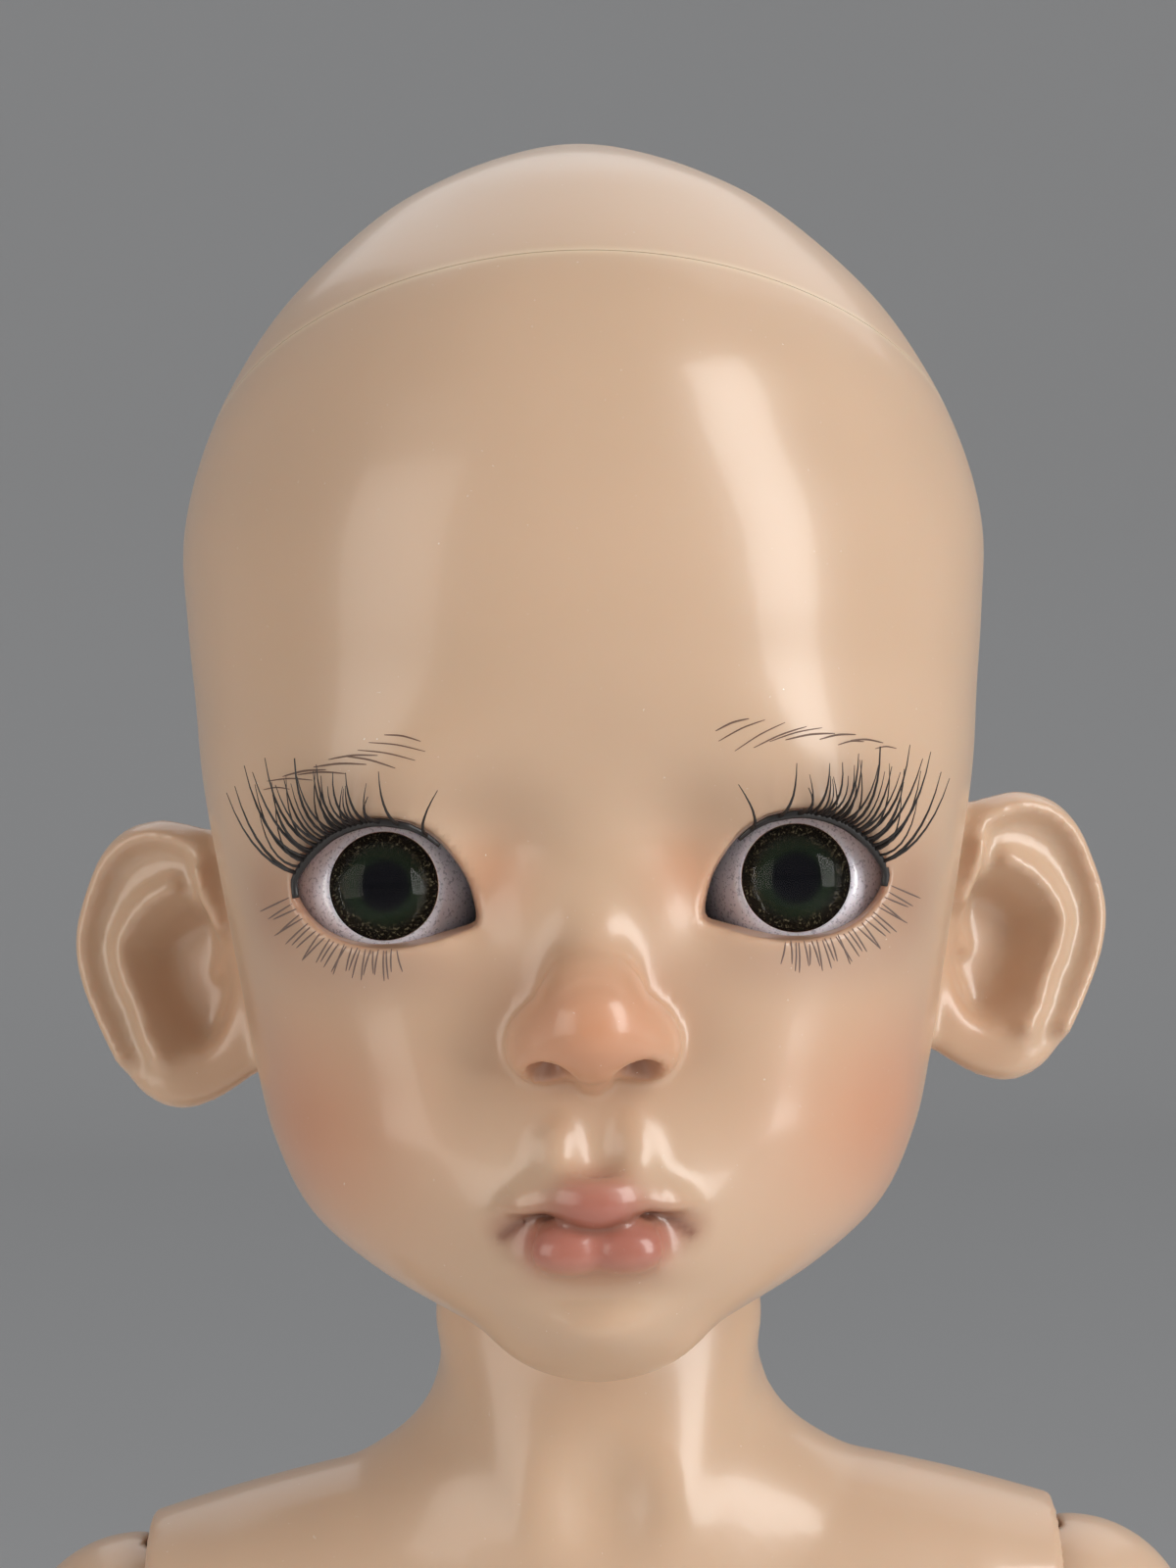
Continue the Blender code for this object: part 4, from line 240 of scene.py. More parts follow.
def resin_material():
    """Satin cast resin, faintly mottled, dusty and translucent, tinted by the painted colours, which include
    painted shade and a painted highlight.
    """
    made, tree, shader = new_material("cast_resin")
    cloud = noise(tree, 38.0, 2.0)
    tone = ramp(tree, cloud.outputs["Fac"], ((0.3, (0.95, 0.945, 0.935)), (0.7, (1.03, 1.03, 1.035))))
    tint = tree.nodes.new("ShaderNodeAttribute")
    tint.attribute_name = "tint"
    base = mix(tree, "MULTIPLY", RESIN, tone.outputs["Color"])
    base = mix(tree, "MULTIPLY", base, tint.outputs["Color"])
    speck = noise(tree, 2600.0, 2.0, 0.7)
    dust = ramp(tree, speck.outputs["Fac"], ((0.74, (0, 0, 0)), (0.80, (1, 1, 1))))
    base = mix(tree, "MIX", base, (0.72, 0.66, 0.58), dust.outputs["Color"])
    tree.links.new(base, shader.inputs["Base Color"])
    wear = noise(tree, 120.0, 4.0)
    gloss = tree.nodes.new("ShaderNodeMapRange")
    gloss.inputs["To Min"].default_value = 0.27
    gloss.inputs["To Max"].default_value = 0.39
    tree.links.new(wear.outputs["Fac"], gloss.inputs["Value"])
    tree.links.new(gloss.outputs["Result"], shader.inputs["Roughness"])
    shader.inputs["Subsurface Weight"].default_value = 0.22
    shader.inputs["Subsurface Radius"].default_value = (1.0, 0.45, 0.25)
    shader.inputs["Subsurface Scale"].default_value = 0.0025
    shader.inputs["Coat Weight"].default_value = 0.25
    shader.inputs["Coat Roughness"].default_value = 0.12
    shader.inputs["IOR"].default_value = 1.5
    orange = noise(tree, 900.0, 2.0)
    add_bump(tree, shader, orange.outputs["Fac"], 0.06, 0.0001)
    return made


def plain_material(name, colour, roughness, metallic=0.0, scale=300.0, spread=0.12):
    """A material whose colour and gloss wander a little over the surface."""
    made, tree, shader = new_material(name)
    cloud = noise(tree, scale)
    low = tuple(c * (1 - spread) for c in colour)
    high = tuple(min(1.0, c * (1 + spread)) for c in colour)
    tone = ramp(tree, cloud.outputs["Fac"], ((0.3, low), (0.7, high)))
    tree.links.new(tone.outputs["Color"], shader.inputs["Base Color"])
    gloss = tree.nodes.new("ShaderNodeMapRange")
    gloss.inputs["To Min"].default_value = roughness * 0.8
    gloss.inputs["To Max"].default_value = min(1.0, roughness * 1.2)
    tree.links.new(cloud.outputs["Fac"], gloss.inputs["Value"])
    tree.links.new(gloss.outputs["Result"], shader.inputs["Roughness"])
    shader.inputs["Metallic"].default_value = metallic
    add_bump(tree, shader, cloud.outputs["Fac"], 0.15, 0.0001)
    return made


def elastic_material():
    """White braided elastic: two crossing sets of waves for the braid, which also paint shade into its dips."""
    made, tree, shader = new_material("elastic")
    place = tree.nodes.new("ShaderNodeTexCoord")
    heights = []
    for turn in (0.6, -0.6):
        move = tree.nodes.new("ShaderNodeMapping")
        move.inputs["Rotation"].default_value = (turn, turn, 0)
        wave = tree.nodes.new("ShaderNodeTexWave")
        wave.bands_direction = "Z"
        wave.inputs["Scale"].default_value = 700.0
        tree.links.new(place.outputs["Object"], move.inputs["Vector"])
        tree.links.new(move.outputs["Vector"], wave.inputs["Vector"])
        heights.append(wave.outputs["Fac"])
    both = tree.nodes.new("ShaderNodeMath")
    both.operation = "MAXIMUM"
    tree.links.new(heights[0], both.inputs[0])
    tree.links.new(heights[1], both.inputs[1])
    # painted shade: the braid's dips come out darker and its ridges paler
    tone = ramp(tree, both.outputs[0], ((0.2, (0.55, 0.54, 0.50)), (0.8, (0.86, 0.85, 0.81))))
    tree.links.new(tone.outputs["Color"], shader.inputs["Base Color"])
    shader.inputs["Roughness"].default_value = 0.85
    add_bump(tree, shader, both.outputs[0], 0.6, 0.0002)
    return made


def sclera_material():
    made, tree, shader = new_material("eye_white")
    fine = noise(tree, 4200.0, 2.0, 0.7)
    dots = ramp(tree, fine.outputs["Fac"], ((0.36, (0.52, 0.49, 0.56)), (0.46, (0.84, 0.80, 0.87))))
    tree.links.new(dots.outputs["Color"], shader.inputs["Base Color"])
    shader.inputs["Roughness"].default_value = 0.14
    shader.inputs["Coat Weight"].default_value = 0.6
    shader.inputs["Coat Roughness"].default_value = 0.04
    shader.inputs["Subsurface Weight"].default_value = 0.1
    shader.inputs["Subsurface Scale"].default_value = 0.001
    add_bump(tree, shader, fine.outputs["Fac"], 0.03, 0.0001)
    return made


def iris_material():
    """Black pupil, dark green ring, speckled near-black rim; the rings come from the painted shade."""
    made, tree, shader = new_material("iris")
    tint = tree.nodes.new("ShaderNodeAttribute")
    tint.attribute_name = "tint"
    fine = noise(tree, 5200.0, 3.0, 0.8)
    speck = ramp(tree, fine.outputs["Fac"], ((0.56, (0, 0, 0)), (0.66, (1, 1, 1))))
    rim = tree.nodes.new("ShaderNodeMath")
    rim.operation = "MULTIPLY"
    tree.links.new(speck.outputs["Color"], rim.inputs[0])
    tree.links.new(tint.outputs["Alpha"], rim.inputs[1])
    base = mix(tree, "MIX", tint.outputs["Color"], (0.20, 0.17, 0.10), rim.outputs[0])
    tree.links.new(base, shader.inputs["Base Color"])
    shader.inputs["Roughness"].default_value = 0.7
    shader.inputs["Specular IOR Level"].default_value = 0.05
    return made


def cornea_material():
    made, tree, shader = new_material("eye_glass")
    shader.inputs["Base Color"].default_value = (1.0, 1.0, 1.0, 1)
    shader.inputs["Roughness"].default_value = 0.0
    shader.inputs["Transmission Weight"].default_value = 1.0
    shader.inputs["IOR"].default_value = 1.18
    return made


def paint_material(name, colour):
    made, tree, shader = new_material(name)
    cloud = noise(tree, 900.0)
    tone = ramp(tree, cloud.outputs["Fac"], ((0.3, tuple(c * 0.8 for c in colour)), (0.7, colour)))
    tree.links.new(tone.outputs["Color"], shader.inputs["Base Color"])
    shader.inputs["Roughness"].default_value = 0.55
    return made


# Solid forms: signed distances on a grid, negative inside

def smooth_min(a, b, k):
    if np.ndim(k) == 0 and k <= 0:
        return np.minimum(a, b)
    near = np.maximum(k - np.abs(a - b), 0.0) / k
    return np.minimum(a, b) - near * near * (k / 4)


class Form:
    """A solid as distances on a grid of one step, in millimetres."""

    def __init__(self, low, high, step):
        self.low = np.array(low, float)
        self.step = step
        self.shape = tuple(int(math.ceil((h - l) / step)) + 1 for l, h in zip(low, high))
        self.values = np.full(self.shape, FAR, np.float32)

    def window(self, low, high):
        cut = []
        for axis in range(3):
            first = int(math.floor((low[axis] - self.low[axis]) / self.step))
            last = int(math.ceil((high[axis] - self.low[axis]) / self.step)) + 1
            cut.append(slice(max(first, 0), max(min(last, self.shape[axis]), 0)))
        return tuple(cut)

    def grid(self, cut):
        made = []
        for axis, part in enumerate(cut):
            line = (self.low[axis] + self.step * np.arange(part.start, part.stop)).astype(np.float32)
            made.append(line.reshape([-1 if i == axis else 1 for i in range(3)]))
        return made

    def apply(self, shape, way="add", k=0.0):
        """Joins ("add"), removes ("cut") or intersects ("keep") a shape: (low, high, distance)."""
        low, high, distance = shape
        if way == "keep":
            low, high = self.low, self.low + np.array(self.shape) * self.step
        reach = 2 * k + 1.0
        cut = self.window([v - reach for v in low], [v + reach for v in high])
        if min(part.stop - part.start for part in cut) < 1:
            return self
        there = distance(*self.grid(cut))
        here = self.values[cut]
        if way == "add":
            self.values[cut] = smooth_min(here, there, k)
        elif way == "cut":
            self.values[cut] = -smooth_min(-here, there, k)
        else:
            self.values[cut] = -smooth_min(-here, -there, k)
        return self

    def skin(self, rings, k=0.0, way="add"):
        """Joins the solid inside a skin that is lofted through rings of points."""
        points, triangles = loft(rings)
        points = ((points - self.low) / self.step).astype(np.float32)
        grid = openvdb.FloatGrid.createLevelSetFromPolygons(
            points, triangles=triangles.astype(np.uint32),
            transform=openvdb.createLinearTransform(voxelSize=1.0), halfWidth=FAR / self.step)
        there = np.zeros(self.shape, np.float32)
        grid.copyToArray(there, ijk=(0, 0, 0))
        there *= self.step
        if way == "add":
            self.values = smooth_min(self.values, there, k)
        else:
            self.values = -smooth_min(-self.values, there, k)
        return self

    def sample(self, points):
        place = (points - self.low) / self.step
        corner = np.clip(np.floor(place).astype(int), 0, np.array(self.shape) - 2)
        part = (place - corner).astype(np.float32)
        i, j, k = corner.T
        u, v, w = part.T
        grid = self.values
        low = ((grid[i, j, k] * (1 - u) + grid[i + 1, j, k] * u) * (1 - v)
               + (grid[i, j + 1, k] * (1 - u) + grid[i + 1, j + 1, k] * u) * v)
        high = ((grid[i, j, k + 1] * (1 - u) + grid[i + 1, j, k + 1] * u) * (1 - v)
                + (grid[i, j + 1, k + 1] * (1 - u) + grid[i + 1, j + 1, k + 1] * u) * v)
        return low * (1 - w) + high * w

    def slope(self, points):
        reach = self.step * 0.5
        made = np.zeros_like(points)
        for axis in range(3):
            move = np.zeros(3)
            move[axis] = reach
            made[:, axis] = (self.sample(points + move) - self.sample(points - move)) / (2 * reach)
        return made

    def surface(self):
        """The points and quads of the form's skin, drawn onto the true zero level."""
        grid = openvdb.FloatGrid(FAR)
        grid.copyFromArray(self.values, ijk=(0, 0, 0), tolerance=0.0)
        points, quads = grid.convertToQuads(isovalue=0.0)
        points = points.astype(float) * self.step + self.low
        for _ in range(2):
            slope = self.slope(points)
            size = np.maximum((slope ** 2).sum(1), 0.05)
            step = self.sample(points) / size
            points -= slope * np.clip(step, -self.step, self.step)[:, None]
        return points, quads[:, ::-1]


def loft(rings):
    """Points and triangles of a closed skin through rings of as many points each."""
    rings = [np.asarray(ring, float) for ring in rings]
    count = len(rings[0])
    points = np.concatenate(rings + [rings[0].mean(0)[None], rings[-1].mean(0)[None]])
    around = np.arange(count)
    after = (around + 1) % count
    triangles = []
    for row in range(len(rings) - 1):
        a, b = row * count + around, row * count + after
        c, d = a + count, b + count
        triangles += [np.stack([a, b, d], 1), np.stack([a, d, c], 1)]
    last = (len(rings) - 1) * count
    bottom, top = len(rings) * count, len(rings) * count + 1
    triangles.append(np.stack([np.full(count, bottom), after, around], 1))
    triangles.append(np.stack([np.full(count, top), last + around, last + after], 1))
    return points, np.concatenate(triangles)


def ellipsoid(centre, radii, turn=None):
    """An ellipsoid's box and distance; turn is a 3 by 3 matrix."""
    centre = np.array(centre, float)
    if not isinstance(radii, (tuple, list)):
        radii = (radii,) * 3
    reach = max(radii) if turn is not None else None
    extent = [reach or r for r in radii]

    def distance(x, y, z):
        p = (x - centre[0], y - centre[1], z - centre[2])
        if turn is not None:
            p = [turn[0][a] * p[0] + turn[1][a] * p[1] + turn[2][a] * p[2] for a in range(3)]
        near = np.sqrt(sum((v / r) ** 2 for v, r in zip(p, radii)))
        steep = np.sqrt(sum((v / (r * r)) ** 2 for v, r in zip(p, radii)))
        return near * (near - 1) / np.maximum(steep, 1e-6)
    return centre - extent, centre + extent, distance


def ball(centre, radius):
    centre = np.array(centre, float)

    def distance(x, y, z):
        return np.sqrt((x - centre[0]) ** 2 + (y - centre[1]) ** 2 + (z - centre[2]) ** 2) - radius
    return centre - radius, centre + radius, distance


def rod(start, end, radius, end_radius=None):
    """A rod with round ends, that may taper."""
    start, end = np.array(start, float), np.array(end, float)
    end_radius = radius if end_radius is None else end_radius
    along = end - start
    length = float(along @ along)
    most = max(radius, end_radius)

    def distance(x, y, z):
        p = (x - start[0], y - start[1], z - start[2])
        t = np.clip((p[0] * along[0] + p[1] * along[1] + p[2] * along[2]) / length, 0, 1)
        gap = np.sqrt(sum((v - t * a) ** 2 for v, a in zip(p, along)))
        return gap - (radius + (end_radius - radius) * t)
    return np.minimum(start, end) - most, np.maximum(start, end) + most, distance


def block(low, high, rounding=0.0):
    low, high = np.array(low, float), np.array(high, float)
    middle, half = (low + high) / 2, (high - low) / 2 - rounding

    def distance(x, y, z):
        q = [np.abs(v - m) - h for v, m, h in zip((x, y, z), middle, half)]
        outside = np.sqrt(sum(np.maximum(v, 0) ** 2 for v in q))
        inside = np.minimum(np.maximum(np.maximum(q[0], q[1]), q[2]), 0)
        return outside + inside - rounding
    return low, high, distance


def half_space(point, normal):
    """All that lies behind a plane."""
    point, normal = np.array(point, float), np.array(normal, float)
    normal = normal / np.linalg.norm(normal)

    def distance(x, y, z):
        return (x - point[0]) * normal[0] + (y - point[1]) * normal[1] + (z - point[2]) * normal[2]
    return None, None, distance


def outline_distance(x, z, points):
    """Distance in a plane to a closed outline, negative inside."""
    x, z = np.broadcast_arrays(x, z)
    best = np.full(x.shape, 1e9, np.float32)
    inside = np.zeros(x.shape, bool)
    for (ax, az), (bx, bz) in zip(points, points[1:] + points[:1]):
        ex, ez = bx - ax, bz - az
        wx, wz = x - ax, z - az
        t = np.clip((wx * ex + wz * ez) / max(ex * ex + ez * ez, 1e-9), 0, 1)
        best = np.minimum(best, (wx - ex * t) ** 2 + (wz - ez * t) ** 2)
        crosses = (az > z) != (bz > z)
        inside ^= crosses & (x < (bx - ax) * (z - az) / ((bz - az) or 1e-9) + ax)
    return np.where(inside, -1, 1) * np.sqrt(best)


def line_distance(x, z, points):
    """Distance in a plane to an open line."""
    x, z = np.broadcast_arrays(x, z)
    best = np.full(x.shape, 1e9, np.float32)
    for (ax, az), (bx, bz) in zip(points, points[1:]):
        ex, ez = bx - ax, bz - az
        wx, wz = x - ax, z - az
        t = np.clip((wx * ex + wz * ez) / max(ex * ex + ez * ez, 1e-9), 0, 1)
        best = np.minimum(best, (wx - ex * t) ** 2 + (wz - ez * t) ** 2)
    return np.sqrt(best)


def curve_through(points, steps=6, closed=False):
    """A smooth line through points, as a list of tuples."""
    points = [np.array(p, float) for p in points]
    last = len(points) - 1
    made = []
    for i in range(len(points) if closed else last):
        if closed:
            a, b, c, d = (points[(i + n) % (last + 1)] for n in (-1, 0, 1, 2))
        else:
            a, b, c, d = points[max(i - 1, 0)], points[i], points[i + 1], points[min(i + 2, last)]
        for k in range(steps):
            t = k / steps
            made.append(tuple(0.5 * (2 * b + (c - a) * t + (2 * a - 5 * b + 4 * c - d) * t * t
                                     + (3 * b - a - 3 * c + d) * t ** 3)))
    if not closed:
        made.append(tuple(points[-1]))
    return made


def catmull(rows, place):
    last = len(rows) - 1
    i = min(int(place), last - 1)
    t = place - i
    a, b, c, d = (np.array(rows[n], float) for n in (max(i - 1, 0), i, i + 1, min(i + 2, last)))
    return 0.5 * (2 * b + (c - a) * t + (2 * a - 5 * b + 4 * c - d) * t * t + (3 * b - a - 3 * c + d) * t ** 3)


# Pieces

def add_piece(name, points, faces, finish, body, replaces=(), tint=None, move=None):
    """A mesh piece from points in millimetres, riding on a body in place of CAD nodes."""
    mesh = bpy.data.meshes.new(name)
    points = np.asarray(points, float) * MM
    mesh.vertices.add(len(points))
    mesh.vertices.foreach_set("co", points.astype(np.float32).ravel())
    if isinstance(faces, np.ndarray):
        count, sides = faces.shape
        flat, starts = faces.ravel(), np.arange(count) * sides
    else:
        flat = np.array([i for face in faces for i in face])
        starts = np.cumsum([0] + [len(face) for face in faces[:-1]])
    mesh.loops.add(len(flat))
    mesh.loops.foreach_set("vertex_index", flat.astype(np.int32))
    mesh.polygons.add(len(starts))
    mesh.polygons.foreach_set("loop_start", starts.astype(np.int32))
    mesh.update(calc_edges=True)
    mesh.validate()
    colour = np.ones((len(mesh.vertices), 4), np.float32)
    if tint is not None:
        colour[:, :tint.shape[1]] = tint
    layer = mesh.attributes.new("tint", "FLOAT_COLOR", "POINT")
    layer.data.foreach_set("color", colour.ravel())
    mesh.shade_smooth()
    mesh.materials.append(finish)
    if move is not None:
        mesh.transform(move)
    piece = bpy.data.objects.new(name, mesh)
    bpy.context.scene.collection.objects.link(piece)
    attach(piece, body)
    if replaces:
        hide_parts(*replaces)
    return piece


def side_name(side):
    return "left" if side > 0 else "right"


# Head: the same rows and swells as the CAD model's, on a finer grid

HEAD_ROWS = (
    (0.000, 0.00, -0.680, -0.680, -0.680, 2.0),
    (0.012, 0.18, -0.630, -0.765, -0.430, 2.0),
    (0.036, 0.345, -0.500, -0.812, -0.180, 2.0),
    (0.070, 0.545, -0.330, -0.840, 0.070, 2.1),
    (0.112, 0.705, -0.170, -0.852, 0.265, 2.2),
    (0.167, 0.795, -0.060, -0.855, 0.410, 2.3),
    (0.223, 0.840, 0.000, -0.852, 0.520, 2.4),
    (0.312, 0.878, 0.000, -0.855, 0.650, 3.0),
    (0.391, 0.917, 0.000, -0.875, 0.760, 3.1),
    (0.465, 0.955, 0.000, -0.935, 0.860, 2.8),
    (0.532, 0.975, 0.000, -0.995, 0.925, 2.4),
    (0.598, 0.992, 0.000, -1.030, 0.960, 2.3),
    (0.665, 1.000, 0.000, -1.032, 0.968, 2.2),
    (0.731, 0.958, 0.000, -1.003, 0.950, 2.1),
    (0.798, 0.868, 0.000, -0.942, 0.903, 2.1),
    (0.865, 0.732, 0.000, -0.825, 0.816, 2.0),
    (0.931, 0.520, 0.000, -0.605, 0.625, 2.0),
    (0.965, 0.345, 0.000, -0.425, 0.440, 2.0),
    (0.988, 0.165, 0.000, -0.205, 0.215, 2.0),
    (1.000, 0.002, 0.000, -0.002, 0.002, 2.0),
)
# Swells of the face: place across and up, how far out, then the spread across and up
FACE_SWELLS = (
    (0.0, 27.2, 2.3, 4.2, 4.8),
    (7.1, 37.2, -2.1, 4.2, 3.8),
    (8.3, 32.2, -1.3, 2.5, 2.8),
    (15.0, 34.5, 1.9, 9.9, 6.7),
    (15.0, 43.9, 0.7, 8.1, 3.6),
    (15.6, 18.4, 1.9, 7.5, 7.6),
    (0.0, 11.0, 2.9, 8.1, 5.6),
    (0.0, 5.4, -1.3, 5.1, 1.8),
    (0.0, 2.9, 1.4, 5.7, 2.9),
)
HEAD_RINGS = 150
HEAD_SIDES = 240


def face_relief(x, up):
    out = np.zeros_like(x)
    for across, high, rise, wide, tall in FACE_SWELLS:
        for sign in ((1,) if across == 0 else (-1, 1)):
            out += rise * np.exp(-((x - sign * across) / wide) ** 2 - ((up - high) / tall) ** 2)
    return out


def head_ring(row, sides, relief):
    high, wide, centre, front, back, square = row
    up = high * HEAD_HEIGHT
    turn = 2 * np.pi * np.arange(sides) / sides
    s, c = np.sin(turn), np.cos(turn)
    reach = (np.abs(s) ** square + np.abs(c) ** square) ** (-1 / square)
    deep = np.where(c > 0, centre - front, back - centre) * HEAD_HALF_DEPTH
    x = max(wide, 0.002) * HEAD_HALF_WIDTH * reach * s
    y = centre * HEAD_HALF_DEPTH - deep * reach * c
    if relief:
        y = y - face_relief(x, up) * np.clip(c * 2, 0, 1)
    return np.stack([x, y + HEAD_Y, np.full(sides, up + CHIN_Z)], 1)


def head_skin():
    rings = []
    for i in range(HEAD_RINGS + 1):
        place = (len(HEAD_ROWS) - 1) * i / HEAD_RINGS
        row = catmull(HEAD_ROWS, place)
        row[0] = min(max(row[0], 0.0), 1.0)
        rings.append(head_ring(row, HEAD_SIDES, True))
    return rings


def head_hollow():
    narrow = 1 - HEAD_WALL / HEAD_HALF_WIDTH
    shallow = 1 - HEAD_WALL / HEAD_HALF_DEPTH
    floor, roof = HEAD_FLOOR / HEAD_HEIGHT, 1 - HEAD_WALL / HEAD_HEIGHT
    rows = HEAD_ROWS[6:]
    rings = []
    for i in range(61):
        row = catmull(rows, (len(rows) - 1) * i / 60)
        high = floor + (min(max(row[0], rows[0][0]), 1.0) - rows[0][0]) / (1 - rows[0][0]) * (roof - floor)
        rings.append(head_ring((high, row[1] * narrow, row[2], row[3] * shallow, row[4] * shallow, row[5]),
                               96, False))
    return rings


def in_head(x, y, z):
    """A place given from the head's middle line and chin."""
    return (x, y + HEAD_Y, z + CHIN_Z)


# The eye's opening as shares of its half width, outward, and half height, up
EYE_OPENING = (6.45, 4.3)
EYE_OPENING_AT = (14.35, 34.35)
EYE_OUTLINE = (
    (-1.00, -0.55), (-0.93, -0.10), (-0.80, 0.27), (-0.565, 0.693), (-0.264, 0.94), (0.138, 1.0),
    (0.479, 0.845), (0.70, 0.62), (0.90, 0.30), (1.00, -0.01), (0.955, -0.30), (0.78, -0.63),
    (0.54, -0.86), (0.218, -0.99), (-0.103, -1.0), (-0.425, -0.93), (-0.80, -0.78), (-0.97, -0.68),
)


def eye_outline(side):
    wide, tall = EYE_OPENING
    rough = [(side * (EYE_OPENING_AT[0] + a * wide), EYE_OPENING_AT[1] + b * tall) for a, b in EYE_OUTLINE]
    return curve_through(rough, 4, closed=True)


def blank_like(form):
    made = Form(form.low, form.low, form.step)
    made.shape, made.values = form.shape, np.full(form.shape, FAR, np.float32)
    return made


def add_nose(form):
    nose = blank_like(form)
    cut = form.window(in_head(-14, -44, 12), in_head(14, -20, 46))
    nose.apply(rod(in_head(0, -26.6, 33.6), in_head(0, -31.6, 27.2), 0.9, 2.5), "add")
    nose.apply(ellipsoid(in_head(0, -32.9, 24.5), (4.2, 4.2, 3.8)), "add", 2.8)
    for side in (-1, 1):
        nose.apply(ellipsoid(in_head(side * 3.6, -31.0, 23.0), (2.5, 3.6, 2.7)), "add", 2.2)
    nose.apply(rod(in_head(0, -33.9, 21.9), in_head(0, -30.6, 20.4), 1.05, 1.2), "add", 1.2)
    soft = 1.0 + 1.6 * np.clip((form.grid(cut)[2] - CHIN_Z - 27.0) / 5.0, 0, 1)
    form.values[cut] = smooth_min(form.values[cut], nose.values[cut], soft)
    for side in (-1, 1):
        tilt = Matrix.Rotation(side * math.radians(-18), 3, "Y")
        form.apply(ellipsoid(in_head(side * 3.0, -33.1, 20.9), (1.75, 2.5, 1.45), tilt), "cut", 0.45)
        form.apply(ellipsoid(in_head(side * 2.8, -32.2, 22.0), (1.0, 1.5, 1.4)), "cut", 0.4)


MOUTH_LINE = ((-6.5, 9.8), (-5.3, 10.6), (-4.0, 11.15), (-2.7, 11.2), (-1.3, 10.6), (0.0, 10.35),
              (1.3, 10.6), (2.7, 11.2), (4.0, 11.15), (5.3, 10.6), (6.5, 9.8))


def add_lips(form):
    upper, lower = blank_like(form), blank_like(form)
    cut = form.window(in_head(-12, -44, 2), in_head(12, -22, 24))
    upper.apply(ellipsoid(in_head(0.0, -32.2, 12.5), (3.1, 2.1, 2.1)), "add")
    for side in (-1, 1):
        tilt = Matrix.Rotation(side * math.radians(25), 3, "Y")
        upper.apply(ellipsoid(in_head(side * 3.6, -30.4, 12.5), (3.3, 1.8, 1.5), tilt), "add", 2.2)
        lower.apply(ellipsoid(in_head(side * 2.0, -31.8, 8.95), (2.7, 1.9, 1.75)), "add", 0.6)
    for side in (-1, 1):
        tilt = Matrix.Rotation(side * math.radians(-14), 3, "Y")
        lower.apply(ellipsoid(in_head(side * 3.7, -30.6, 9.2), (2.0, 1.2, 1.2), tilt), "add", 1.4)
    both = np.minimum(upper.values[cut], lower.values[cut])
    form.values[cut] = smooth_min(form.values[cut], both, 1.5)
    line = curve_through(MOUTH_LINE, 3)

    def groove(x, y, z):
        wide = -0.35 + 0.6 * np.clip((np.abs(x) - 1.9) / 1.6, 0, 1) * np.clip((7.4 - np.abs(x)) / 2.6, 0, 1)
        return line_distance(x, z - CHIN_Z, line) + np.maximum(0, (y - HEAD_Y) + 30.4) * 0.6 - wide
    form.apply((in_head(-7, -36, 9), in_head(7, -30.0, 12.5), groove), "cut", 0.8)
    for side in (-1, 1):
        form.apply(ellipsoid(in_head(side * 6.1, -30.9, 9.5), (1.5, 1.0, 1.5)), "cut", 1.9)
        form.apply(ellipsoid(in_head(side * 2.1, -29.9, 15.6), (1.1, 0.8, 1.2)), "add", 2.6)
    form.apply(ellipsoid(in_head(0.1, -31.9, 17.0), (1.25, 1.35, 2.6)), "cut", 2.4)


# Ear lines from its root outward and up from its middle
EAR_AT = (29.6, 4.0, 28.1)
EAR_TURN = math.radians(16.0)
EAR_SLACK = 0.45
EAR_EDGE = (
    (-5.0, 8.6), (-2.4, 9.9), (-0.4, 10.4), (1.6, 10.9), (3.8, 11.2), (6.6, 10.5), (8.6, 8.7), (10.0, 5.9),
    (11.0, 3.1), (11.1, 0.8), (10.4, -1.8), (9.0, -4.8), (7.7, -7.2), (6.1, -9.5), (3.9, -10.9),
    (1.9, -11.2), (-0.2, -10.6), (-2.0, -9.6), (-4.2, -8.0), (-7.0, -5.5), (-7.0, 5.5),
)
EAR_RIM = (
    (-1.4, 3.2), (-0.9, 6.0), (0.0, 8.6), (1.6, 9.7), (3.8, 10.1), (6.0, 9.5), (7.9, 7.9), (9.2, 5.4),
    (10.0, 2.9), (10.1, 0.6), (9.5, -2.0), (8.2, -4.8), (6.9, -7.0),
)
EAR_FOLD = ((2.4, 6.0), (4.3, 5.0), (6.0, 3.2), (6.8, 1.3), (6.3, -0.9), (5.2, -3.2), (4.6, -5.2), (3.6, -6.8))
EAR_BOWL = ((-0.4, 3.6), (1.4, 3.9), (3.4, 2.8), (4.7, 1.0), (4.4, -1.4), (3.2, -4.0), (1.9, -5.8),
            (0.4, -5.9), (-0.9, -3.8), (-1.3, -0.6))
EAR_FRONT = ((-0.2, 7.2), (-0.5, 4.0), (-0.7, 1.4), (-0.2, -0.6))


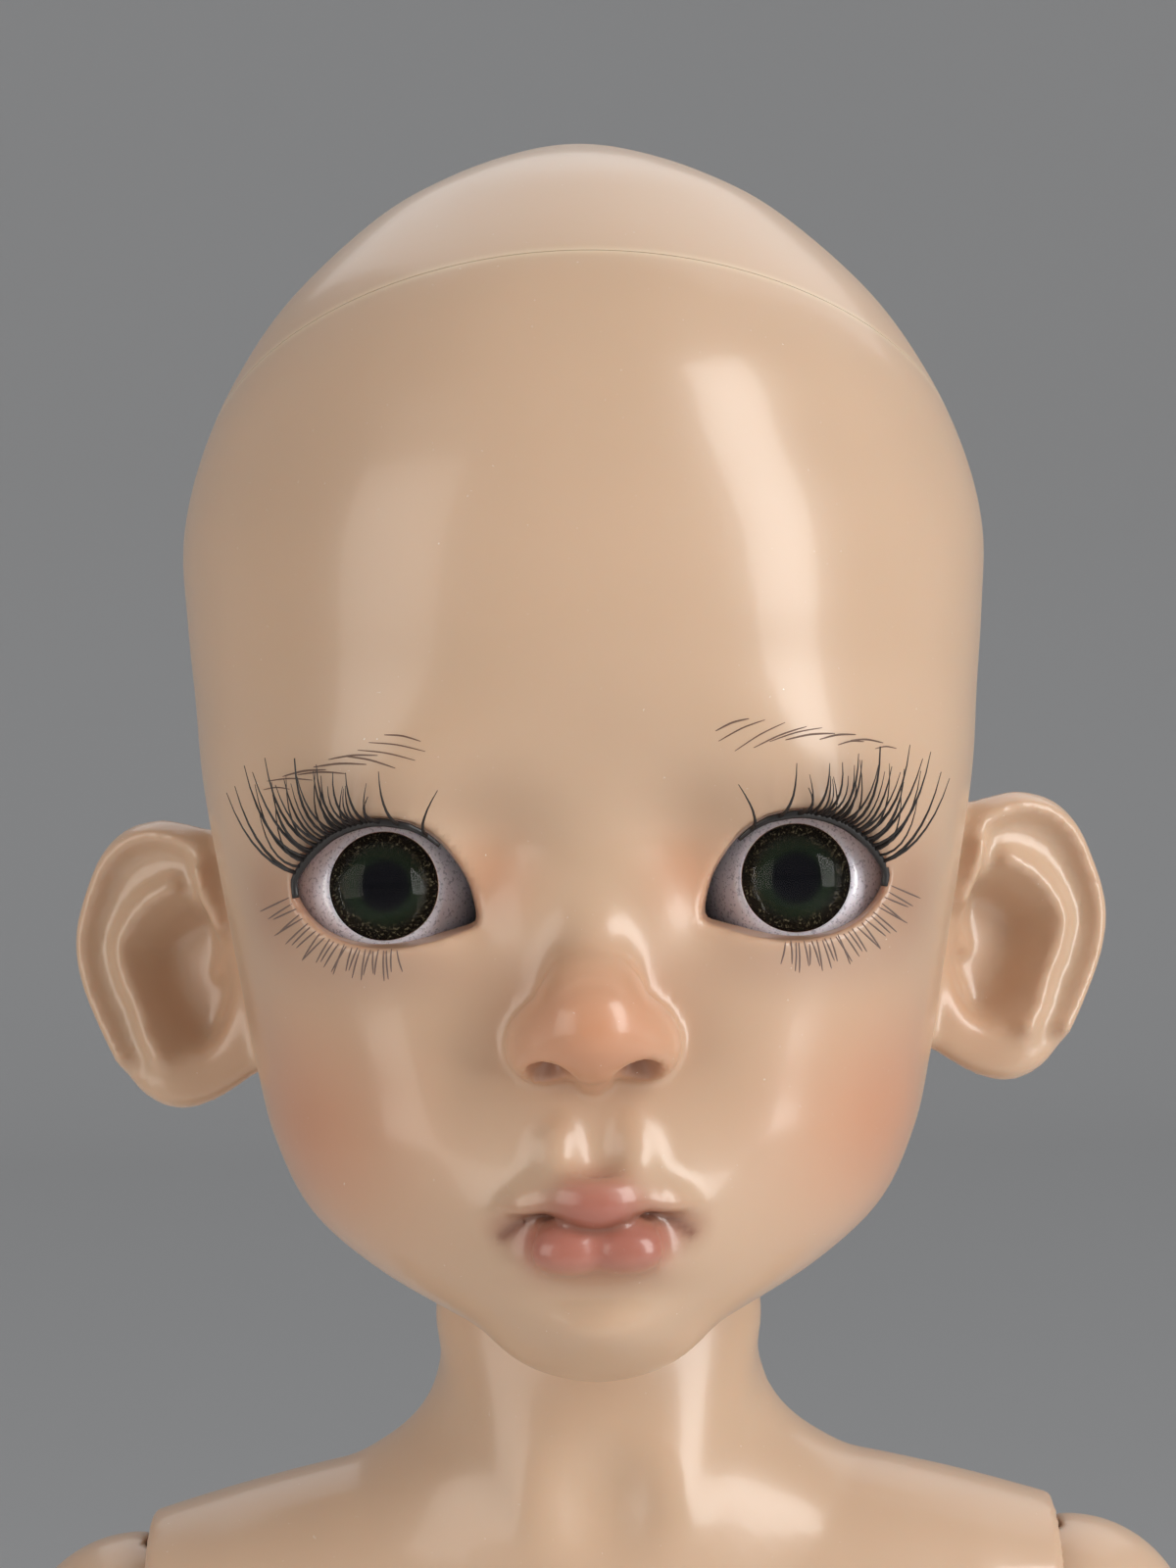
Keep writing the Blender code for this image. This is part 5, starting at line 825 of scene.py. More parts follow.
def add_ear(form, side):
    edge = curve_through(EAR_EDGE, 4, closed=True)
    rim = curve_through(EAR_RIM, 4)
    fold = curve_through(EAR_FOLD, 4)
    front_ridge = curve_through(EAR_FRONT, 4)
    bowl = curve_through(EAR_BOWL, 4, closed=True)
    at = in_head(side * EAR_AT[0], EAR_AT[1], EAR_AT[2] + side * EAR_SLACK)
    cos, sin = math.cos(EAR_TURN), math.sin(EAR_TURN)

    def distance(x, y, z):
        across, deep = side * (x - at[0]), y - at[1]
        u = cos * across + sin * deep
        n = -(-sin * across + cos * deep)
        v = z - at[2]
        edge_gap = outline_distance(u, v, edge)
        rim_gap, fold_gap = line_distance(u, v, rim), line_distance(u, v, fold)
        ridge_gap = line_distance(u, v, front_ridge)
        bowl_gap = outline_distance(u, v, bowl)
        hollow = 1 / (1 + np.exp(np.clip(bowl_gap / 0.45, -30, 30)))
        lobe = np.exp(-((u - 3.6) / 3.2) ** 2 - ((v + 9.0) / 2.4) ** 2)
        front = (0.35 + 1.75 * np.exp(-(rim_gap / 1.15) ** 2) + 1.35 * np.exp(-(fold_gap / 1.05) ** 2)
                 + 1.0 * np.exp(-(ridge_gap / 0.8) ** 2) + 0.8 * lobe - 3.6 * hollow)
        behind = -1.3 - 3.4 / (1 + np.exp(np.clip((bowl_gap - 0.9) / 0.7, -30, 30)))
        cup = -0.018 * (u - 3.0) ** 2
        slab = np.maximum(n - front - cup, behind + cup - n) * 0.72
        soft = 1.1
        a, b = slab + soft, edge_gap + soft
        return np.minimum(np.maximum(a, b), 0) + np.hypot(np.maximum(a, 0), np.maximum(b, 0)) - soft
    low = (min(at[0] - side * 8, at[0] + side * 13), at[1] - 6, at[2] - 13)
    high = (max(at[0] - side * 8, at[0] + side * 13), at[1] + 8, at[2] + 13)
    form.apply((low, high, distance), "add", 1.6)


def head_form():
    form = Form(in_head(-42.5, -41.0, -4.0), in_head(42.5, 36.0, 92.0), 0.4)
    form.skin(head_skin())
    form.apply(ellipsoid(in_head(0, -21.5, 2.3), (6.0, 4.2, 3.4)), "add", 3.4)
    skin = form.values.copy()
    for side in (-1, 1):
        form.apply(ball(in_head(side * EYE[0], EYE[1], EYE[2]), EYE_RADIUS + 1.15), "add", 2.6)
    add_nose(form)
    add_lips(form)
    for side in (-1, 1):
        add_ear(form, side)
    hollow = blank_like(form)
    hollow.skin(head_hollow())
    everywhere = form.window(form.low, form.low + np.array(form.shape) * form.step)
    ahead = np.clip((HEAD_Y - form.grid(everywhere)[1]) * 0.5, 0, 8)
    hollow.values = -smooth_min(-hollow.values, ahead - skin - HEAD_WALL_LEAST, 1.0)
    form.values = -smooth_min(-form.values, hollow.values, 1.0)
    neck = (0, BODY_Y, NECK_Z)
    form.apply(ball(neck, NECK_BALL_RADIUS + JOINT_GAP), "cut", 0.4)
    form.apply(rod(neck, (0, BODY_Y, CHIN_Z + HEAD_FLOOR + 8), NECK_HOLE_RADIUS), "cut", 0.4)
    for side in (-1, 1):
        outline = eye_outline(side)
        centre = in_head(side * EYE[0], EYE[1], EYE[2])

        def opening(x, y, z):
            flare = np.clip(-(y - centre[1]) - EYE_RADIUS, -2.0, 2.0) * 0.12
            shape = outline_distance(x, z - CHIN_Z, outline) - flare
            return np.maximum(shape + 0 * y, y - centre[1])
        low = in_head(side * EYE[0] - 9, EYE[1] - 14, EYE[2] - 8)
        high = in_head(side * EYE[0] + 9, EYE[1], EYE[2] + 8)
        form.apply((low, high, opening), "cut", 0.32)
        form.apply(ball(centre, EYE_RADIUS + 0.12), "cut", 0.25)
    return form


def seam():
    point = in_head(0, SEAM_FRONT[0], SEAM_FRONT[1])
    return np.array(point), np.array((0, math.sin(SEAM_SLOPE), math.cos(SEAM_SLOPE)))


def slice_piece(piece, point, normal):
    """Keeps what lies behind a plane, with a sharp edge round the cut."""
    work = bmesh.new()
    work.from_mesh(piece.data)
    everything = list(work.verts) + list(work.edges) + list(work.faces)
    cut = bmesh.ops.bisect_plane(work, geom=everything, plane_co=Vector(point) * MM, plane_no=Vector(normal),
                                 clear_outer=True)
    rim = [e for e in cut["geom_cut"] if isinstance(e, bmesh.types.BMEdge)]
    bmesh.ops.triangle_fill(work, edges=rim, use_beauty=True, normal=Vector(normal))
    for edge in rim:
        edge.smooth = False
    work.to_mesh(piece.data)
    work.free()


# Painted colours on the resin, painted shade and a painted highlight among them, as factors that multiply it

def glow(points, centre, radii):
    gap = (points - np.array(in_head(*centre))) / np.array(radii)
    return np.exp(-(gap ** 2).sum(1))


def blend_tint(tint, share, colour):
    return tint * (1 - share[:, None]) + np.array(colour)[None] * share[:, None]


# The face's painted colours, with painted shade in the nostrils, along the mouth line, beside and under the lips,
# and a painted highlight along the seam
def face_tint(points):
    tint = np.ones((len(points), 3))
    x, y, z = points.T
    up = z - CHIN_Z
    front = np.clip((-(y - HEAD_Y) - 4) / 8, 0, 1)
    for side in (-1, 1):
        cheek = glow(points, (side * 20.5, -19.0, 17.0), (9.5, 14.0, 8.0)) * 0.62 * front
        tint = blend_tint(tint, cheek, (1.02, 0.60, 0.48))
        corner = glow(points, (side * 6.6, -27.5, 34.5), (3.0, 6.0, 3.2)) * 0.55
        tint = blend_tint(tint, corner, (1.02, 0.66, 0.52))
        outer = glow(points, (side * 21.8, -24.0, 33.0), (3.4, 5.5, 4.6)) * 0.65
        tint = blend_tint(tint, outer, (0.56, 0.43, 0.42))
        lid = glow(points, (side * 15.0, -27.0, 40.0), (6.5, 5.0, 2.3)) * 0.42
        tint = blend_tint(tint, lid, (0.60, 0.52, 0.53))
        under = glow(points, (side * 14.0, -27.0, 28.4), (7.5, 5.0, 2.2)) * 0.48
        tint = blend_tint(tint, under, (0.62, 0.52, 0.56))
        # painted shade: the nostrils' hollows darkened
        nostril_shade = glow(points, (side * 2.9, -32.0, 21.4), (1.3, 2.2, 1.3)) * 0.9
        tint = blend_tint(tint, nostril_shade, (0.36, 0.24, 0.21))
        ear = glow(points, (side * 29.8, 3.0, 25.0), (3.6, 4.5, 5.5)) * 0.45
        tint = blend_tint(tint, ear, (0.86, 0.62, 0.50))
        for a, b in ((1.0, 0.5),):
            gap = outline_distance(x, up, eye_outline(side))
            rim = np.exp(-((gap + 0.05) / 0.32) ** 2) * front * (np.abs(x * side - EYE[0]) < 9)
            tint = blend_tint(tint, rim * b, (0.62, 0.38, 0.30))
    nose = glow(points, (0, -34.0, 24.0), (6.2, 6.0, 4.6)) * 0.85
    tint = blend_tint(tint, nose, (1.00, 0.56, 0.38))
    lips = lip_share(x, up) * front
    tint = blend_tint(tint, lips * 0.95, (0.70, 0.34, 0.36))
    # painted shade: a dark line along the mouth line, over the cut groove
    crease = np.exp(-(line_distance(x, up, curve_through(MOUTH_LINE, 3)) / 0.42) ** 2) * front
    # painted shade: the upper lip's sides above the mouth corners darkened brownish-pink
    sides = np.exp(-(line_distance(x, up - 0.7, curve_through(MOUTH_LINE, 3)) / 1.1) ** 2) * front
    tint = blend_tint(tint, sides * 0.55 * np.clip((np.abs(x) - 1.6) / 1.6, 0, 1), (0.70, 0.46, 0.41))
    tint = blend_tint(tint, crease * 0.8, (0.42, 0.24, 0.22))
    # painted shadow under the lower lip
    shadow_below_lip = glow(points, (0, -30.5, 6.4), (4.5, 4.0, 0.9)) * 0.35
    tint = blend_tint(tint, shadow_below_lip, (0.80, 0.58, 0.52))
    point, normal = seam()
    # painted highlight: a pale bluish line along the seam's cut edge
    edge = np.exp(-(((points - point) @ normal) / 0.36) ** 2) * 0.8
    tint = blend_tint(tint, edge, (1.26, 1.36, 1.36))
    return tint


LIP_EDGE = (
    (-5.6, 10.0), (-4.4, 11.4), (-3.1, 12.9), (-1.4, 14.0), (1.4, 14.0), (3.1, 12.9), (4.4, 11.4), (5.6, 10.0),
    (5.2, 8.6), (3.9, 7.4), (0.0, 7.1), (-3.9, 7.4), (-5.2, 8.6),
)


def lip_share(x, up):
    gap = outline_distance(x, up, curve_through(LIP_EDGE, 4, closed=True))
    fade = 1 - 0.55 * np.clip((np.abs(x) - 2.6) / 2.4, 0, 1) * (up > 10.6)
    return fade / (1 + np.exp(np.clip(gap / 0.45, -30, 30)))


def build_head(resin):
    form = head_form()
    point, normal = seam()
    for name in ("head_magnet_front", "head_magnet_back"):
        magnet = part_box(name)
        middle = np.array([(a + b) / 2 for a, b in zip(*magnet)]) / MM
        middle -= normal * ((middle - point) @ normal)
        form.apply(rod(middle - normal * 0.6, middle + normal * 0.6, MAGNET_RADIUS + 0.12), "cut", 0.1)
    points, quads = form.surface()
    tint = face_tint(points)
    shell = add_piece("face_and_shell", points, quads, resin, "head_body", ["head_shell"], tint)
    cap = add_piece("lift_off_cap", points, quads, resin, "cap_body", ["head_cap"], tint)
    slice_piece(shell, point - normal * SEAM_GAP / 2, normal)
    slice_piece(cap, point + normal * SEAM_GAP / 2, -normal)
    return form


# Eyes

def lathe(name_points, centre, sides=72):
    """Points and faces of a profile of (radius, depth) turned about a line along Y."""
    points, faces = [], []
    turn = 2 * np.pi * np.arange(sides) / sides
    for radius, deep in name_points:
        points.append(np.stack([centre[0] + radius * np.cos(turn), np.full(sides, centre[1] + deep),
                                centre[2] + radius * np.sin(turn)], 1))
    around = np.arange(sides)
    after = (around + 1) % sides
    for row in range(len(name_points) - 1):
        a, b = row * sides + around, row * sides + after
        faces.append(np.stack([a, b, b + sides, a + sides], 1))
    return np.concatenate(points), np.concatenate(faces)


def build_eye(side, sclera, iris, glass):
    name = side_name(side)
    centre = in_head(side * EYE[0], EYE[1], EYE[2])
    start = math.asin(IRIS_PLANE / EYE_RADIUS)
    profile = [(0.01, -IRIS_PLANE + IRIS_THICKNESS + 0.25), (IRIS_SEEN + 0.03, -IRIS_PLANE + IRIS_THICKNESS + 0.25),
               (IRIS_SEEN + 0.03, -IRIS_PLANE + 0.04)]
    end = -math.asin(EYE_BACK_PLANE / EYE_RADIUS)
    for i in range(25):
        angle = start + (end - start) * i / 24
        profile.append((EYE_RADIUS * math.cos(angle), -EYE_RADIUS * math.sin(angle)))
    profile.append((0.01, EYE_BACK_PLANE))
    points, faces = lathe(profile, centre)
    add_piece(f"eye_white_{name}", points, faces[:, ::-1], sclera, "head_body",
              [f"eyeball_{name}"])
    face = -IRIS_PLANE
    profile = [(0.01, face + 0.22)]
    for i in range(1, 25):
        r = IRIS_SEEN * i / 24
        share = i / 24
        profile.append((r, face + 0.22 * (1 - min(share / 0.5, 1.0) ** 2) + 0.10 * share ** 2))
    profile += [(IRIS_SEEN, face + IRIS_THICKNESS), (0.01, face + IRIS_THICKNESS)]
    points, faces = lathe(profile, centre)
    radius = np.hypot(points[:, 0] - centre[0], points[:, 2] - centre[2]) / IRIS_SEEN
    tint = np.zeros((len(points), 4))
    pupil = 1 / (1 + np.exp((radius - 0.46) / 0.03))
    outer = 1 / (1 + np.exp(-(radius - 0.72) / 0.035))
    limbus = np.clip((radius - 0.93) / 0.07, 0, 1)
    green, dark = np.array((0.009, 0.017, 0.008)), np.array((0.007, 0.006, 0.004))
    colour = green[None] * (1 - outer[:, None]) + dark[None] * outer[:, None]
    colour = colour * (1 - pupil[:, None]) + np.array((0.002, 0.002, 0.004))[None] * pupil[:, None]
    tint[:, :3] = colour * (1 - 0.7 * limbus[:, None])
    tint[:, 3] = outer * (1 - limbus) * 0.9 + (1 - outer) * (1 - pupil) * 0.12
    add_piece(f"iris_disc_{name}", points, faces[:, ::-1], iris, "head_body", [f"iris_{name}"], tint)
    base = face - JOINT_GAP / 2
    curve = (CORNEA_RADIUS ** 2 + CORNEA_RISE ** 2) / (2 * CORNEA_RISE)
    profile = [(0.01, base), (CORNEA_RADIUS - 0.1, base), (CORNEA_RADIUS, base - 0.05)]
    for i in range(1, 20):
        across = CORNEA_RADIUS * math.cos(math.pi / 2 * i / 20)
        rise = math.sqrt(curve ** 2 - across ** 2) - (curve - CORNEA_RISE)
        profile.append((across, base - 0.05 - rise))
    profile.append((0.01, base - 0.05 - CORNEA_RISE))
    points, faces = lathe(profile, centre)
    add_piece(f"clear_dome_{name}", points, faces, glass, "head_body", [f"cornea_{name}"])


# Hairs and painted strokes

def strand(path, radii, out, flat=1.0, sides=6):
    """A thin bar along a path, squashed along the way out of the surface."""
    path, out = np.asarray(path, float), np.asarray(out, float)
    turn = 2 * np.pi * np.arange(sides) / sides
    rings = []
    for i, (here, radius) in enumerate(zip(path, radii)):
        along = path[min(i + 1, len(path) - 1)] - path[max(i - 1, 0)]
        along /= np.linalg.norm(along)
        normal = out[i] - along * (out[i] @ along)
        normal /= np.linalg.norm(normal)
        across = np.cross(along, normal)
        rings.append(here + radius * (np.cos(turn)[:, None] * across + flat * np.sin(turn)[:, None] * normal))
    return loft(rings)


def join_meshes(parts):
    points, faces, start = [], [], 0
    for some_points, some_faces in parts:
        points.append(some_points)
        faces.append(some_faces + start)
        start += len(some_points)
    return np.concatenate(points), np.concatenate(faces)


def on_face(form, places):
    """Points of the face's skin, and the way out of it, at places (across, up) in the head."""
    places = np.asarray(places, float)
    points = np.stack([places[:, 0], np.full(len(places), HEAD_Y - 40.5), places[:, 1] + CHIN_Z], 1)
    for _ in range(60):
        points[:, 1] += 0.85 * form.sample(points)
    out = form.slope(points)
    return points, out / np.linalg.norm(out, axis=1)[:, None]


def painted_line(form, places, width, sides=6):
    """A stroke of paint on the face through a few places, thin at both ends."""
    points, out = on_face(form, curve_through(places, 5))
    share = np.linspace(0, 1, len(points))
    radii = width * (0.22 + 0.78 * np.sin(np.pi * np.clip(share * 0.92 + 0.04, 0, 1)) ** 0.7)
    return strand(points, radii, out, 0.32, sides)


# Brow strokes on the two sides, from root to tip
BROWS = (
    ((-13.9, 44.6), (-11.4, 44.1)), ((-15.0, 44.1), (-11.1, 43.4)), ((-15.8, 43.6), (-11.8, 42.8)),
    ((-16.7, 43.2), (-13.2, 42.3)), ((-19.0, 42.5), (-15.2, 42.6)), ((-20.2, 42.0), (-16.7, 42.0)),
    ((-22.5, 41.6), (-19.1, 41.6)), ((-22.8, 41.0), (-20.8, 41.0)), ((-17.9, 43.0), (-14.4, 43.2)),
    ((-21.3, 41.9), (-18.1, 42.3)),
    ((8.8, 44.4), (11.1, 45.2)), ((9.0, 43.7), (12.2, 45.1)), ((10.1, 43.0), (13.6, 44.9)),
    ((11.4, 43.2), (15.1, 44.6)), ((13.6, 43.7), (17.1, 44.1)), ((16.0, 43.7), (18.6, 44.0)),
    ((17.3, 43.3), (19.2, 43.5)), ((20.0, 43.0), (21.6, 43.0)), ((12.5, 43.6), (16.2, 44.5)),
    ((18.2, 43.6), (20.6, 43.4)),
)
# Upper lashes from root to tip: outward and up from the head's middle and chin
LASHES = (
    ((20.2, 35.2), (24.2, 41.4)), ((19.8, 35.9), (23.4, 42.2)), ((19.4, 36.5), (22.9, 41.9)),
    ((19.0, 37.1), (22.3, 43.3)), ((18.5, 37.6), (21.2, 42.4)), ((18.0, 38.0), (20.3, 43.9)),
    ((17.4, 38.4), (19.3, 42.6)), ((16.8, 38.7), (18.4, 42.9)), ((16.1, 39.0), (17.6, 42.4)),
    ((15.3, 39.2), (16.4, 42.6)), ((14.3, 39.3), (15.2, 41.2)), ((12.9, 39.2), (14.0, 43.2)),
    ((10.7, 38.4), (10.0, 41.6)),
)


def bend_hair(root, tip, bulge, steps=8):
    root, tip = np.array(root), np.array(tip)
    middle = root * 0.55 + tip * 0.45 + np.array(bulge)
    t = np.linspace(0, 1, steps)[:, None]
    return (1 - t) ** 2 * root + 2 * t * (1 - t) * middle + t ** 2 * tip


def build_lashes(form, side, black):
    """A glued band along the upper lid and tapered hairs that curl out of it."""
    outline = np.array(eye_outline(side))
    middle = np.array((side * EYE_OPENING_AT[0], EYE_OPENING_AT[1]))
    turns = np.radians(np.linspace(-8, 146, 40))
    lid = []
    for turn in turns:
        way = np.array((side * math.cos(turn), math.sin(turn)))
        reach = (outline - middle) @ way
        off = np.abs((outline - middle) @ np.array((-way[1], way[0])))
        place = outline[np.argmax(reach - 3 * off)]
        lid.append(place + way * 0.30)
    lid = np.array(curve_through(lid[::3], 3))
    skin, out = on_face(form, lid)
    toward = (middle - lid) / np.linalg.norm(middle - lid, axis=1)[:, None]
    band = skin + np.stack([toward[:, 0] * 0.38, np.full(len(lid), 0.08), toward[:, 1] * 0.38], 1)
    share = np.linspace(0, 1, len(band))
    radii = 0.06 + 0.30 * np.sin(np.pi * np.clip(share * 0.80 + 0.16, 0, 1)) ** 0.5 * (1 - 0.25 * share)
    parts = [strand(band, radii, np.tile((0.0, -1.0, 0.0), (len(band), 1)), 0.75, 8)]
    for i, (root, tip) in enumerate(LASHES):
        for k, (slide, stretch, turn) in enumerate(((0.0, 1.0, 0.0), (0.24, 0.86, 0.5), (-0.22, 0.74, -0.4))):
            if k and i > 9:
                continue
            near = np.argmin(np.hypot(band[:, 0] - side * (root[0] + slide), band[:, 2] - CHIN_Z - root[1]))
            start = band[near]
            turn += 0.5 * math.sin(3.1 * i + k)
            way = np.array((side * (tip[0] - root[0] + turn), -2.8 - 0.3 * k, tip[1] - root[1]))
            end = start + way * (stretch + 0.08 * math.sin(7.3 * i + 2.1 * k))
            path = bend_hair(start, end, (side * (0.9 + 0.3 * math.sin(2.7 * i)), -1.0, -0.28 * way[2]))
            thick = (0.150 - 0.02 * k) * np.linspace(1, 0.10, len(path)) ** 0.75
            parts.append(strand(path, thick, np.tile((0.2, -0.6, 0.8), (len(path), 1)), 1.0, 5))
    points, faces = join_meshes(parts)
    name = side_name(side)
    add_piece(f"lash_hairs_{name}", points, faces, black, "head_body", [f"lashes_{name}"])


def build_paint(form, side, brown, grey):
    """Painted brow hairs and the fan of lower lashes."""
    name = side_name(side)
    parts = []
    for n, (start, end) in enumerate(BROWS):
        if start[0] * side > 0:
            middle = ((start[0] + end[0]) / 2, (start[1] + end[1]) / 2 + 0.15)
            parts.append(painted_line(form, (start, middle, end), 0.060 + 0.012 * math.sin(5.1 * n)))
    points, faces = join_meshes(parts)
    add_piece(f"brow_strokes_{name}", points, faces, brown, "head_body")
    outline = np.array(curve_through(eye_outline(side), 3, closed=True))
    middle = np.array((side * EYE_OPENING_AT[0], EYE_OPENING_AT[1]))
    parts = []
    for k in range(26):
        share = k / 25
        turn = math.radians(-8 - 92 * share)
        way = np.array((side * math.cos(turn), math.sin(turn)))
        reach = (outline - middle) @ way
        off = np.abs((outline - middle) @ np.array((-way[1], way[0])))
        place = outline[np.argmax(reach - 3 * off)]
        lean = math.radians(-24 - 72 * share + 7 * math.sin(3.7 * k))
        fan = np.array((side * math.cos(lean), math.sin(lean)))
        start = place + way * (0.30 + 0.06 * math.sin(2.3 * k))
        end = start + fan * (2.3 - 0.5 * share + 0.30 * math.sin(4.9 * k + 1))
        bow = (start + end) / 2 + 0.04 * np.array((side, -0.4))
        parts.append(painted_line(form, (tuple(start), tuple(bow), tuple(end)), 0.066, 5))
    points, faces = join_meshes(parts)
    add_piece(f"lower_lash_strokes_{name}", points, faces, grey, "head_body")


# Body: the CAD model's stations, smoothed, with soft rims and joints

CHANNEL_RADIUS = 2.2
SHOULDER_BALL = 9.4
SHOULDER_NECK = 5.8
YOKE_END = 10.9
YOKE_HALF_WIDTH = 34.2
CHEST_HALF = (25.5, 14.0)
PELVIS_HALF = (27.2, 15.8)
WAIST_BALL = 16.0
HIP_BALL = 12.5
HIP_NECK = 7.6
ELBOW_BALL = 6.0
ELBOW_SPAN = 4.5
KNEE_BALL = 8.4
KNEE_SPAN = 6.5
WRIST_BALL = 4.6
ANKLE_BALL = 7.4

CHEST_ROWS = (
    (0.000, 0.745, 1.240, 1.210), (0.120, 0.800, 1.160, 1.070), (0.300, 0.880, 1.060, 0.990),
    (0.520, 0.960, 1.020, 0.985), (0.700, 1.000, 0.985, 0.960), (0.860, 0.950, 0.910, 0.900),
    (1.000, 0.720, 0.820, 0.820),
)
YOKE_ROWS = (
    (-1.00, 1.00, 0.00), (-0.79, 1.14, 0.10), (-0.55, 1.23, 0.27), (-0.30, 1.30, 0.40),
    (0.30, 1.30, 0.40), (0.55, 1.23, 0.27), (0.79, 1.14, 0.10), (1.00, 1.00, 0.00),
)
NECK_ROWS = (
    (1.75, 1.35, 0.96, 1.00), (1.30, 1.40, 1.08, 1.06), (0.95, 1.32, 1.11, 1.09),
    (0.72, 1.20, 1.09, 1.08), (0.50, 1.10, 1.06, 1.06), (0.24, 1.015, 1.02, 1.03),
    (0.00, 1.00, 1.00, 1.00),
)
PELVIS_ROWS = (
    (0.000, 0.16, 0.48, 0.55), (0.090, 0.46, 0.70, 0.86), (0.190, 0.78, 0.83, 1.02),
    (0.310, 0.965, 0.90, 1.08), (0.440, 1.000, 0.95, 1.04), (0.620, 0.900, 1.01, 0.92),
    (0.800, 0.755, 1.04, 0.90), (0.930, 0.640, 1.035, 0.96), (1.000, 0.560, 0.96, 0.93),
)
HIP_HOLLOW_ROWS = ((0.00, 1.00, 0.45), (0.22, 0.96, 0.55), (0.62, 0.62, 0.55), (1.00, 0.42, 0.50))
UPPER_ARM_ROWS = (
    (0.235, 0.94, 0.92, 0.95), (0.33, 1.01, 1.00, 1.02), (0.50, 0.99, 1.01, 0.98),
    (0.70, 0.95, 0.95, 0.94), (0.88, 0.93, 0.93, 0.93), (1.05, 0.925, 0.925, 0.925),
)
FOREARM_ROWS = (
    (-0.05, 1.00, 0.98, 0.98), (0.12, 1.02, 1.02, 1.00), (0.28, 1.01, 1.02, 0.98),
    (0.50, 0.92, 0.93, 0.92), (0.72, 0.81, 0.82, 0.82), (0.88, 0.755, 0.76, 0.76),
)
THIGH_ROWS = (
    (0.265, 0.97, 0.96, 0.97), (0.36, 1.01, 1.01, 1.03), (0.52, 1.00, 1.02, 1.00),
    (0.70, 0.94, 0.96, 0.93), (0.86, 0.90, 0.92, 0.89), (1.04, 0.893, 0.905, 0.893),
)
CALF_ROWS = (
    (-0.04, 0.985, 0.985, 1.00), (0.12, 0.99, 0.96, 1.08), (0.28, 0.98, 0.91, 1.12),
    (0.48, 0.90, 0.86, 1.00), (0.70, 0.80, 0.80, 0.83), (0.88, 0.79, 0.79, 0.80),
)


def limb_skin(x, rows, steps=6, sides=72):
    """Rings across a limb through rows of (height, half width, front and back reach)."""
    turn = 2 * np.pi * np.arange(sides) / sides
    rings = []
    count = (len(rows) - 1) * steps
    for i in range(count + 1):
        height, wide, front, back = catmull(rows, (len(rows) - 1) * i / count)
        reach = np.where(np.cos(turn) > 0, front, back)
        rings.append(np.stack([x + wide * np.sin(turn), BODY_Y - reach * np.cos(turn),
                               np.full(sides, height)], 1))
    return rings


def rows_below(height, length, radius, rows):
    return [(height - down * length, wide * radius, front * radius, back * radius)
            for down, wide, front, back in rows]


def add_form(name, form, finish, body, node, move=None):
    points, quads = form.surface()
    return add_piece(name, points, quads, finish, body, [node], None, move)


def build_chest(resin):
    rim, top = WAIST_Z + 4.0, SHOULDER_Z + YOKE_END * 0.75
    form = Form((-37, -15, 246), (37, 27, 364.5), 0.6)
    rows = [(rim + up * (top - rim), wide * CHEST_HALF[0], front * CHEST_HALF[1], back * CHEST_HALF[1])
            for up, wide, front, back in CHEST_ROWS]
    rows = [(rim - 3, *rows[0][1:])] + rows
    form.skin(limb_skin(0, rows, 8, 96))
    rings = []
    turn = 2 * np.pi * np.arange(64) / 64
    for i in range(57):
        across, size, lift = catmull(YOKE_ROWS, (len(YOKE_ROWS) - 1) * i / 56)
        radius = size * YOKE_END
        rings.append(np.stack([np.full(64, across * YOKE_HALF_WIDTH),
                               BODY_Y + min(radius, YOKE_END * 1.12) * np.sin(turn),
                               SHOULDER_Z + lift * YOKE_END / 2 + radius * np.cos(turn)], 1))
    form.skin(rings, 3.0)
    rows = [(CHIN_Z - down * 11.7, wide * 11.7, front * 11.7, back * 11.7)
            for down, wide, front, back in NECK_ROWS]
    neck = limb_skin(0, rows, 6, 96)
    start = math.asin(11.7 / NECK_BALL_RADIUS)
    for i in range(1, 13):
        angle = start * (1 - i / 12)
        across = max(NECK_BALL_RADIUS * math.sin(angle), 0.02)
        height = NECK_Z + NECK_BALL_RADIUS * math.cos(angle)
        neck.append(limb_skin(0, [(height, across, across, across)] * 2, 1, 96)[0])
    form.skin(neck, 5.5)
    for side in (-1, 1):
        form.apply(rod((side * 9.0, 1.8, 352.0), (side * 3.6, -4.2, 339.0), 1.3, 1.0), "add", 5.0)
    form.apply(ellipsoid((0, -9.2, 338.6), (2.6, 2.4, 3.0)), "cut", 4.5)
    for side in (-1, 1):
        x = side * SHOULDER_X
        low = (min(x - side * 6.4, x + side * 16), -16, SHOULDER_Z - 16)
        high = (max(x - side * 6.4, x + side * 16), 28, SHOULDER_Z + 6.0)
        form.apply(block(low, high, 0.3), "cut", 0.6)
        form.apply(ball((x, BODY_Y, SHOULDER_Z), SHOULDER_BALL + JOINT_GAP), "cut", 0.5)
    waist = (0, BODY_Y, WAIST_Z)
    form.apply(half_space((0, BODY_Y, rim), (0, 0, -1)), "keep", 0.6)
    form.apply(ball(waist, WAIST_BALL + JOINT_GAP), "cut", 0.5)
    form.apply(rod((0, BODY_Y, WAIST_Z + 8), (0, BODY_Y, SHOULDER_Z - 1), 8.5), "cut", 0.5)
    form.apply(rod((0, BODY_Y, SHOULDER_Z), (0, BODY_Y, NECK_Z + 18), NECK_HOLE_RADIUS), "cut", 0.5)
    form.apply(rod((-SHOULDER_X, BODY_Y, SHOULDER_Z), (SHOULDER_X, BODY_Y, SHOULDER_Z), 1.52), "cut", 0.3)
    add_form("chest_and_neck", form, resin, "chest_body", "chest")


